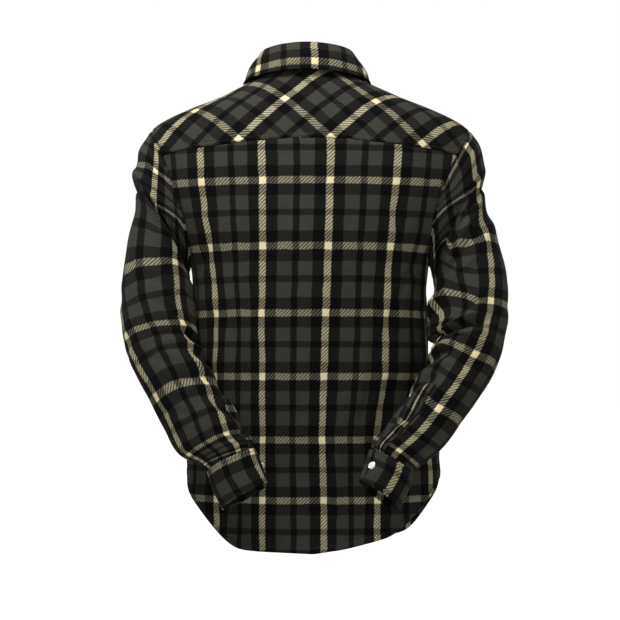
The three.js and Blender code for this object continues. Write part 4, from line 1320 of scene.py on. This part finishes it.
def pucker(d, along, seed, height=0.55):
    """Small uneven gathers that die away from a seam."""
    beat = sum(np.sin(along / size + turn * seed) for size, turn in STITCH_BEATS)
    return height / 2 * beat * np.exp(-((d / 13) ** 2)) * smooth(d / 2)


def hem_relief(d, along, seed):
    band = 0.9 * smooth((HEM_BAND + 0.8 - d) / 1.6)
    return band + groove(d, HEM_BAND, 0.8) + pucker(np.abs(d - HEM_BAND), along, seed, 0.5)


def seam_relief(d, along, seed, felled=True):
    """Beside a seam; felled is the side on which the turned-in cloth lies."""
    relief = groove(d, 0, 1.3, 1.9) + pucker(d, along, seed)
    if felled:
        relief = relief + 0.8 * smooth((FELL + 0.8 - d) / 1.8) + groove(d, FELL, 0.7)
    return relief


def cut_of(points):
    """The width, length and area in metres of the flat cloth that a grid of points needs."""
    lengths = along_ring(points)[:, -1]
    heights = along_ring(points.transpose(1, 0, 2))[:, -1]
    east = points[:-1, 1:] - points[:-1, :-1]
    north = points[1:, :-1] - points[:-1, :-1]
    area = np.linalg.norm(np.cross(east, north), axis=-1).sum() * MM**2
    width, height = lengths.max() * MM, heights.max() * MM
    return (round(float(width), 3), round(float(height), 3)), round(float(min(area, width * height)), 4)


seams_to_sew = []


def sewing_line(points, side, distance, part=(0, 1)):
    """Points along a line at a distance from one edge of a grid, to be stitched later."""
    grid = points if side in ("bottom", "top") else points.transpose(1, 0, 2)
    grid = grid[::-1] if side in ("top", "right") else grid
    normal = grid_normals(points)
    normal = normal if side in ("bottom", "top") else normal.transpose(1, 0, 2)
    normal = normal[::-1] if side in ("top", "right") else normal
    way = along_ring(grid.transpose(1, 0, 2))
    line, facing = [], []
    for k in range(int(part[0] * (grid.shape[1] - 1)), int(part[1] * (grid.shape[1] - 1)) + 1):
        line.append([np.interp(distance, way[k], grid[:, k, c]) for c in range(3)])
        facing.append([np.interp(distance, way[k], normal[:, k, c]) for c in range(3)])
    seams_to_sew.append((np.array(line), unit(np.array(facing))))


print("points across a 400 mm piece", len(shares(400, 6)))

# %% [markdown]
# The back is one plain piece with a rounded tail. The yoke is a single layer of cloth over both
# shoulders, cut on the bias.

# %% Back and yoke
BACK_WIDTH, BACK_LENGTH = 480, 560
us, vs = shares(BACK_WIDTH, 7), shares(BACK_LENGTH, 7)
angle, level = places(lambda u, v: back_at(1 - u, v), us, vs)
base = torso_point(angle, level)
d = edge_distances(base)
relief = hem_relief(d["bottom"], d["left"], 0.3)
relief += seam_relief(d["top"], d["left"], 1.1, felled=False)
relief += seam_relief(d["left"], d["bottom"], 2.2, felled=False)
relief += seam_relief(d["right"], d["bottom"], 3.1, felled=False)
back_points = base + torso_normal(angle, level) * relief[..., None]
back = sheet_piece("shirt_back", back_points, back_cloth(angle, level, base[..., 2]), CLOTH, flannel_cloth)
size, area = cut_of(back_points)
fit_on_body(back, ["back"])
sewing_line(back_points, "bottom", HEM_BAND)
print("cut of the back", size, area)

YOKE_WIDTH, YOKE_DEPTH = 560, 130
us, vs = shares(YOKE_WIDTH, 5.5), shares(YOKE_DEPTH, 5.5, end=False)
angle, level = places(yoke_at, us, vs)
base = torso_point(angle, level)
d = edge_distances(base)
relief = seam_relief(d["bottom"], d["left"], 0.7)
relief += seam_relief(d["left"], d["bottom"], 1.9) + seam_relief(d["right"], d["bottom"], 2.7)
yoke_points = base + torso_normal(angle, level) * relief[..., None]
yoke = sheet_piece("shirt_yoke", yoke_points, yoke_cloth(base, level), CLOTH, flannel_cloth)
size, area = cut_of(yoke_points)
fit_on_body(yoke, ["yoke"])
sewing_line(yoke_points, "bottom", FELL)
sewing_line(yoke_points, "left", FELL)
sewing_line(yoke_points, "right", FELL)
print("cut of the yoke", size, area)

# %% [markdown]
# The fronts hang from the yoke to the tail. The left one ends in a doubled strip, the placket,
# which laps over the edge of the right one and carries the snaps.

# %% Fronts and placket
FRONT_WIDTH, FRONT_LENGTH = 215, 600
LEFT_REACH = PLACKET_HALF + SEAM_GAP


def underlap(x):
    most = DOUBLED + LAP_GAP - PLACKET_PROUD
    return -most * smooth((x + UNDERLAP_START) / (UNDERLAP_START - UNDERLAP_FULL))


for side, name in ((1, "left"), (-1, "right")):
    front_patch = front_at(side, LEFT_REACH if side > 0 else -UNDERLAP_REACH)
    us, vs = shares(FRONT_WIDTH, 8), shares(FRONT_LENGTH, 8)
    angle, level = places(lambda u, v: front_patch(1 - u if side > 0 else u, v), us, vs)
    base = torso_point(angle, level)
    d = edge_distances(base)
    outer, middle = ("right", "left") if side > 0 else ("left", "right")
    relief = hem_relief(d["bottom"], d["left"], 0.9 + side)
    relief += seam_relief(d["top"], d["left"], 1.4 + side, felled=False)
    relief += seam_relief(d[outer], d["bottom"], 2.6 + side)
    relief += underlap(base[..., 0]) if side < 0 else groove(d[middle], 0, 0.8)
    front_points = base + torso_normal(angle, level) * relief[..., None]
    cloth = front_cloth(angle, level, base[..., 2])
    piece = sheet_piece(f"shirt_front_{name}", front_points, cloth, CLOTH, flannel_cloth)
    size, area = cut_of(front_points)
    fit_on_body(piece, [f"front_{name}"])
    sewing_line(front_points, "bottom", HEM_BAND)
    sewing_line(front_points, outer, FELL)
    print("cut of the front", name, size, area)

us, vs = shares(2 * PLACKET_HALF, 3.4), shares(700, 6.5)


def placket_at(u, v):
    level = front_level(v)
    return np.array([float(front_angle(lerp(-PLACKET_HALF, PLACKET_HALF, u), level)), level])


angle, level = places(placket_at, us[::2], vs)
base = torso_point(angle, level)
d = edge_distances(base)
relief = PLACKET_PROUD + groove(d["left"], 5.5, 0.6) + groove(d["right"], 5.5, 0.6)
relief += pucker(d["left"], d["bottom"], 0.5, 0.4) + pucker(d["right"], d["bottom"], 1.5, 0.4)
placket_points = base + torso_normal(angle, level) * relief[..., None]
cloth = front_cloth(angle, level, base[..., 2])
placket = sheet_piece("shirt_placket", placket_points, cloth, DOUBLED, flannel_cloth)
size, area = cut_of(placket_points)
fit_on_body(placket, ["placket"])
sewing_line(placket_points, "left", 5.5)
sewing_line(placket_points, "right", 5.5)
print("cut of the placket", size, area)

# %% [markdown]
# The sleeves are set in after the shoulders are joined. Each is one piece, closed by a seam that
# runs from the underarm to the slit above the cuff. The slit's edge is finished with a strip.

# %% Sleeves
SLIT_WIDTH = 30
SLIT_TOP = 7.5
SLIT_CLOTH = 2.4
LEFT_SLIT = 158
RIGHT_SLIT = 120
SLEEVE_GIRTH = 420
CAP_STEPS = (-2, -1.985, -1.965, -1.94, -1.91, -1.87, -1.82, -1.75, -1.67)
SEAM_TURN = 205
turns = 360 * shares(SLEEVE_GIRTH, 7) + SEAM_TURN - 360


def sleeve_grid(side, rows, large, fine, cuff_rows, turns, seed):
    """Points of a sleeve in rows from the cuff up, and the row of the sizes for each."""
    full = tucked(rows, cuff_rows)
    last = len(full) - 1
    steps = [*CAP_STEPS, *np.arange(-1.58, last - 1.6, 0.13), *np.linspace(last - 1.55, last, 9)]
    steps = np.array(steps)[::-1]
    points = [sleeve_points(full, large, fine, side, turns, row, seed) for row in steps]
    return np.array(points), steps


ARMHOLE_TUCK = ((0.3, 2.9), (5, 3.6))


def tucked_under(turn, side, along, inwards):
    """The sleeve's allowance under the body's edge, at a distance along it and into the body."""
    angle, level = armhole_seam(turn, side)
    middle = 0 if side > 0 else 180
    here = torso_point(angle, level, fine=False)
    near = torso_point(lerp(angle, middle, 0.05), lerp(level, ARMHOLE_MIDDLE, 0.05), fine=False)
    return here - unit(near - here) * along - torso_normal(angle, level) * inwards


sleeve_sizes = {
    "left": (1, LEFT_SLEEVE, LEFT_CREASES, LEFT_FINE, LEFT_CUFF, LEFT_SLIT, 0.4),
    "right": (-1, RIGHT_SLEEVE, RIGHT_CREASES, RIGHT_FINE, RIGHT_CUFF, RIGHT_SLIT, 1.7),
}
for name, (side, rows, large, fine, cuff_rows, slit, seed) in sleeve_sizes.items():
    points, steps = sleeve_grid(side, rows, large, fine, cuff_rows, turns, seed)
    cloth = sleeve_cloth(points, turns, steps, side)
    normal = grid_normals(points) * side
    d = edge_distances(points)
    relief = seam_relief(d["top"], d["left"], 0.6 + seed, felled=False)
    relief += groove(np.minimum(d["left"], d["right"]), 0, 1.1, 2.2)
    relief += pucker(np.minimum(d["left"], d["right"]), d["bottom"], 1.1 + seed)
    relief += pucker(np.abs(d["bottom"] - 8), d["left"], 2.1 + seed, 0.9)
    points = points + normal * relief[..., None]
    under = [tucked_under(turns, side, along, inwards) for along, inwards in ARMHOLE_TUCK]
    points = np.concatenate([points, np.array(under)])
    cloth = np.concatenate([cloth, cloth[-1:] + [(0, 3)], cloth[-1:] + [(0, 7)]])
    points[:, -1] = points[:, 0]
    order = slice(None) if side > 0 else slice(None, None, -1)
    grid, places_on = points[:, order], cloth[:, order]
    piece = sheet_piece(f"shirt_sleeve_{name}", grid, places_on, CLOTH, flannel_cloth, closed=True)
    size, area = cut_of(grid)
    fit_on_body(piece, [f"sleeve_{name}"])
    sewing_line(grid, "top", 13)
    print("cut of the sleeve", name, size, area)

    slit_turns = slit + SLIT_WIDTH * np.linspace(0, 1, 13)
    strip, strip_steps = sleeve_grid(side, rows, large, fine, cuff_rows, slit_turns, seed)
    keep = (strip_steps >= SLIT_TOP) & (strip_steps < len(rows))
    strip, strip_steps = strip[keep], strip_steps[keep]
    strip_cloth = sleeve_cloth(np.array(strip), slit_turns, strip_steps, side) + (40, 46)
    strip = strip + grid_normals(strip) * side * (LAP_GAP + SLIT_CLOTH)
    piece = sheet_piece(
        f"shirt_sleeve_placket_{name}", strip[:, order], strip_cloth[:, order], SLIT_CLOTH, flannel_cloth
    )
    size, area = cut_of(strip)
    fit_on_body(piece, [f"sleeve_placket_{name}"])
    for edge in ("left", "right", "top"):
        sewing_line(strip[:, order], edge, 2.5)
    print("cut of the strip", name, size, area)

# %% [markdown]
# The cuffs and the collar are two layers with a stiffener between, so they stay smooth, with a
# row of stitches close to each edge.

# %% Cuffs
CUFF_GIRTH, CUFF_DEPTH = 215, 60
CUFF_STRIPE = {"left": 196, "right": 4}
CUFF_TOP_STRIPE = {"left": -4, "right": 30}
cuff_sizes = {
    "left": (1, LEFT_CUFF, LEFT_CUFF_START),
    "right": (-1, RIGHT_CUFF, RIGHT_CUFF_START),
}
for name, (side, rows, start) in cuff_sizes.items():
    cuff_turns = start + (360 + CUFF_LAP) * shares(CUFF_GIRTH, 4.5)
    downs = 1 - shares(CUFF_DEPTH, 4)
    points = np.array([cuff_points(rows, start, cuff_turns, v) for v in downs])
    normal = grid_normals(points) * side
    d = edge_distances(points)
    relief = sum(groove(d[edge], 5, 0.5) for edge in d)
    relief = relief + 0.5 * slow_waves(1.3 * d["left"], 2 * d["bottom"], 2.0 + side)
    relief += pucker(d["top"], d["left"], 0.3 + side, 0.5)
    points = points + normal * relief[..., None]
    if side < 0:
        points = points[:, ::-1]
        cuff_turns = cuff_turns[::-1]
    length = along_ring(points)
    stripe = length[:, np.argmin(np.abs(cuff_turns - CUFF_STRIPE[name]))][:, None]
    top = along_ring(points.transpose(1, 0, 2)).T
    cloth = np.stack([length - stripe, top - top[-1:] - CUFF_TOP_STRIPE[name]], axis=-1)
    piece = sheet_piece(f"shirt_cuff_{name}", points, cloth, DOUBLED, flannel_cloth)
    size, area = cut_of(points)
    fit_on_body(piece, [f"cuff_{name}"])
    for edge in ("left", "right", "top", "bottom"):
        sewing_line(points, edge, 5)
    print("cut of the cuff", name, size, area)

# %% [markdown]
# The collar is two doubled strips. The stand goes round the neck on edge, and the leaf is sewn to
# its top and folds down over it. Both could be one bent strip, but two pieces keep the seam and the
# roll of the fold where a maker has them.

# %% Collar
STAND_GIRTH, LEAF_GIRTH, LEAF_DEPTH = 450, 520, 70
LEAF_STRIPE = 12
LEAF_MIDDLE = 100
STAND_TUCK = ((3.2, 5), (2.9, 1.5))
LEAF_DROOP = 2.4
stand_turns = -90 - STAND_SPREAD + (360 + 2 * STAND_SPREAD) * shares(STAND_GIRTH, 6)
points = [stand_points(stand_turns, v) for v in shares(STAND_HEIGHT, 4, False, False)]
foot = [
    points[0] - level_unit(points[0]) * inwards - np.array([0, 0, down]) for inwards, down in STAND_TUCK
]
points = np.array(foot + points[1:])
length = along_ring(points)
up = along_ring(points.transpose(1, 0, 2)).T
cloth = np.stack([length - length[:, -1:] / 2, up - 20], axis=-1)
stand = sheet_piece("shirt_collar_stand", points, cloth, DOUBLED, flannel_cloth)
size, area = cut_of(points)
fit_on_body(stand, ["collar_stand"])
print("cut of the stand", size, area)

leaf_turns = -LEAF_ENDS + (180 + 2 * LEAF_ENDS) * shares(LEAF_GIRTH, 5)
leaf_shares = 1 - shares(LEAF_DEPTH, 3.5, end=False)
points = np.array([leaf_points(leaf_turns, v) for v in leaf_shares])
points[..., 2] -= LEAF_DROOP * smooth((leaf_shares - 0.7) / 0.3)[:, None]
normal = grid_normals(points)
d = edge_distances(points)
relief = sum(groove(d[edge], 6, 0.6) for edge in ("bottom", "left", "right"))
relief = relief + 0.7 * slow_waves(d["left"], 1.6 * d["bottom"], 3.3) * smooth(d["top"] / 25)
points = points + normal * relief[..., None]
length = along_ring(points)
from_edge = along_ring(points.transpose(1, 0, 2)).T
middle = np.array([np.interp(LEAF_MIDDLE, leaf_turns, row) for row in length])[:, None]
cloth = np.stack([length - middle, from_edge - LEAF_STRIPE], axis=-1)
leaf = sheet_piece("shirt_collar_leaf", points, cloth, DOUBLED, flannel_cloth)
size, area = cut_of(points)
fit_on_body(leaf, ["collar_leaf"])
for edge in ("left", "right", "bottom"):
    sewing_line(points, edge, 6)
print("cut of the leaf", size, area)

# %% [markdown]
# The snaps are pressed from metal and capped with pearly white plastic. Here a flattened ball in
# a thin ring stands for the cap and its pressed rim.

# %% Snaps


def pearl():
    n = Nodes("pearl_cap")
    place = n.place()
    cloudy = n.noise(place, 700, 2, 0.6).between(0.3, 0.7)
    n.put(n.surface.inputs["Base Color"], n.mix(cloudy, linear(232, 229, 218), linear(247, 245, 238)))
    n.put(n.surface.inputs["Roughness"], 0.2 + cloudy * 0.1)
    n.surface.inputs["Coat Weight"].default_value = 0.6
    n.surface.inputs["Coat Roughness"].default_value = 0.08
    n.surface.inputs["Subsurface Weight"].default_value = 0.15
    n.surface.inputs["Subsurface Scale"].default_value = 0.002
    n.put(n.surface.inputs["Normal"], n.bump(n.noise(place, 300, 2), 0.0002, 0.1))
    return n.material


def rim():
    n = Nodes("snap_rim")
    place = n.place()
    worn = n.noise(place, 900, 2, 0.5)
    n.put(n.surface.inputs["Base Color"], n.mix(worn, linear(198, 197, 190), linear(222, 220, 212)))
    n.put(n.surface.inputs["Roughness"], 0.22 + worn * 0.12)
    n.surface.inputs["Metallic"].default_value = 0.9
    return n.material


pearl_cap, snap_rim = pearl(), rim()


SNAP_FIRST = -150
SNAP_STEP = 83
SNAP_COUNT = 7


def stand_on(piece, foot, facing):
    """Turns a mesh that was made upright at the origin, in metres, and puts it on a place in mm."""
    turn = Vector((0, 0, 1)).rotation_difference(Vector(facing)).to_matrix().to_4x4()
    piece.data.transform(turn)
    piece.data.transform(Matrix.Translation(Vector(foot) * MM))


def cap_and_rim(name, foot, facing, node):
    """A pearly cap, 1.5 mm high, in a thin ring."""
    bpy.ops.object.select_all(action="DESELECT")
    bpy.ops.mesh.primitive_uv_sphere_add(segments=32, ring_count=16, radius=5.1 * MM)
    cap = bpy.context.object
    cap.name = f"{name}_cap"
    cap.data.transform(Matrix.Diagonal((1, 1, 0.33, 1)))
    cap.data.transform(Matrix.Translation((0, 0, 0.9 * MM)))
    cap.data.materials.append(pearl_cap)
    bpy.ops.object.shade_smooth()
    bpy.ops.object.select_all(action="DESELECT")
    bpy.ops.mesh.primitive_torus_add(
        major_radius=5.15 * MM, minor_radius=0.75 * MM, major_segments=40, minor_segments=10
    )
    ring = bpy.context.object
    ring.name = f"{name}_rim"
    ring.data.transform(Matrix.Translation((0, 0, 0.8 * MM)))
    ring.data.materials.append(snap_rim)
    bpy.ops.object.shade_smooth()
    for piece in (cap, ring):
        stand_on(piece, foot, facing)
        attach(piece, "root")
    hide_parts(node)


def front_level_at(height):
    level = height
    for _ in range(30):
        level = height - float(torso_size["front_lift"](level))
    return level


for i in range(SNAP_COUNT):
    level = front_level_at(SNAP_FIRST - i * SNAP_STEP)
    angle = np.array([float(front_angle(0, level))])
    facing = torso_normal(angle, np.array([level]))[0]
    foot = torso_point(angle, np.array([level]))[0] + facing * (PLACKET_PROUD + 0.2)
    cap_and_rim(f"snap_{i + 1}", foot, facing, f"snap_{i + 1}")
at = [stand_points(np.array([a]), v)[0] for a, v in ((-92, 0.5), (-88, 0.5), (-90, 0.4), (-90, 0.6))]
facing = unit(np.cross(at[1] - at[0], at[3] - at[2]))
cap_and_rim("snap_collar", stand_points(np.array([-90.0]), 0.5)[0] + 0.2 * facing, facing, "snap_collar")
SNAP_FROM_END = 12
for name, (side, rows, start) in cuff_sizes.items():
    turn = start + 360 + CUFF_LAP - SNAP_FROM_END

    def on_cuff(dt, v):
        return cuff_points(rows, start, np.array([turn + dt], float), v)[0]

    facing = unit(np.cross(on_cuff(4, 0.5) - on_cuff(-4, 0.5), on_cuff(0, 0.6) - on_cuff(0, 0.4)))
    out = on_cuff(0, 0.5) - tube_middles(rows)[1]
    facing = facing if facing @ out > 0 else -facing
    cap_and_rim(f"snap_cuff_{name}", on_cuff(0, 0.5) + 0.2 * facing, facing, f"snap_cuff_{name}")
print("snaps", SNAP_COUNT + 3)

# %% [markdown]
# The thread is black. A stitch is a short, fat stroke of thread that sinks at both ends, and the
# next one starts a little further on.

# %% Stitches
STITCH_STEP = 3.6
STITCH_LONG = 2.7
STITCH_THICK = 0.55


def thread():
    n = Nodes("thread")
    place = n.place()
    twist = n.noise(place, 2500, 1)
    n.put(n.surface.inputs["Base Color"], n.mix(twist, linear(14, 14, 14), linear(40, 38, 34)))
    n.put(n.surface.inputs["Roughness"], 0.55 + twist * 0.2)
    return n.material


bpy.ops.object.select_all(action="DESELECT")
bpy.ops.mesh.primitive_uv_sphere_add(segments=6, ring_count=4, radius=0.5)
one = bpy.context.object
stitch_points = np.array([v.co for v in one.data.vertices]) * (STITCH_THICK, STITCH_THICK, STITCH_LONG)
stitch_faces = [list(p.vertices) for p in one.data.polygons]
bpy.data.objects.remove(one)
vertices, faces = [], []
for line, facing in seams_to_sew:
    way = np.concatenate([[0], np.cumsum(np.linalg.norm(np.diff(line, axis=0), axis=-1))])
    for at in np.arange(STITCH_STEP, way[-1] - STITCH_STEP, STITCH_STEP):
        here, ahead = ([np.interp(at + k, way, line[:, c]) for c in range(3)] for k in (0, 0.5))
        along = unit(np.array(ahead) - here)
        up = unit(np.array([np.interp(at, way, facing[:, c]) for c in range(3)]))
        across = unit(np.cross(along, up))
        turned = stitch_points @ np.array([across, np.cross(along, across), along])
        base = len(vertices) * len(stitch_points)
        vertices.append(turned + here + up * 0.15)
        faces += [[base + k for k in face] for face in stitch_faces]
mesh = bpy.data.meshes.new("stitches")
mesh.from_pydata((np.concatenate(vertices) * MM).tolist(), [], faces)
mesh.materials.append(thread())
stitches = bpy.data.objects.new("stitches", mesh)
bpy.context.scene.collection.objects.link(stitches)
bpy.ops.object.select_all(action="DESELECT")
stitches.select_set(True)
bpy.context.view_layer.objects.active = stitches
bpy.ops.object.shade_smooth()
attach(stitches, "root")
print("stitches", len(vertices))

# %% [markdown]
# A pale room: a large soft light above and behind the camera, a weaker one from the side, and
# light from all round that keeps the dark check readable.

# %% Floor, light and finish
bpy.ops.object.select_all(action="DESELECT")
bpy.ops.mesh.primitive_plane_add(size=60, location=(0, 0, -1.3))
floor = bpy.context.object
floor.name = "floor"
ground = Nodes("floor")
tone = ground.noise(ground.place(), 3, 2)
pale = ground.mix(tone, linear(216, 216, 215), linear(222, 222, 221))
ground.put(ground.surface.inputs["Base Color"], pale)
ground.surface.inputs["Roughness"].default_value = 0.9
away = ground.make("ShaderNodeVectorMath", {"operation": "LENGTH"}, {"Vector": ground.place()}, "Value")
far = away.between(1.2, 3.2)
ground.put(ground.surface.inputs["Emission Color"], ground.mix(far, (0.05, 0.05, 0.05, 1), (1, 1, 1, 1)))
ground.surface.inputs["Emission Strength"].default_value = 1.0
floor.data.materials.append(ground.material)


def soft_light(name, place, target, size, power):
    data = bpy.data.lights.new(name, "AREA")
    data.shape = "DISK"
    data.size = size
    data.energy = power
    light = bpy.data.objects.new(name, data)
    light.location = place
    way = Vector(target) - Vector(place)
    light.rotation_euler = way.to_track_quat("-Z", "Y").to_euler()
    bpy.context.scene.collection.objects.link(light)


soft_light("key", (0.45, 0.8, 1.2), (0, 0, -0.3), 1.0, 36)
soft_light("fill", (-2.2, 1.9, 0.3), (0, 0, -0.4), 1.8, 7)
soft_light("front", (0.5, -2.6, 1.2), (0, 0, -0.35), 2.0, 40)

world = bpy.data.worlds.new("room")
bpy.context.scene.world = world
world.use_nodes = True
sky = world.node_tree
sky.nodes.clear()
seen, ambient = sky.nodes.new("ShaderNodeBackground"), sky.nodes.new("ShaderNodeBackground")
seen.inputs["Color"].default_value = (1, 1, 1, 1)
seen.inputs["Strength"].default_value = 1.0
ambient.inputs["Color"].default_value = (0.98, 0.99, 1, 1)
ambient.inputs["Strength"].default_value = 0.18
path, mixed = sky.nodes.new("ShaderNodeLightPath"), sky.nodes.new("ShaderNodeMixShader")
out = sky.nodes.new("ShaderNodeOutputWorld")
sky.links.new(path.outputs["Is Camera Ray"], mixed.inputs[0])
sky.links.new(ambient.outputs[0], mixed.inputs[1])
sky.links.new(seen.outputs[0], mixed.inputs[2])
sky.links.new(mixed.outputs[0], out.inputs[0])
bpy.context.scene.view_settings.view_transform = "Standard"

bpy.context.view_layer.update()
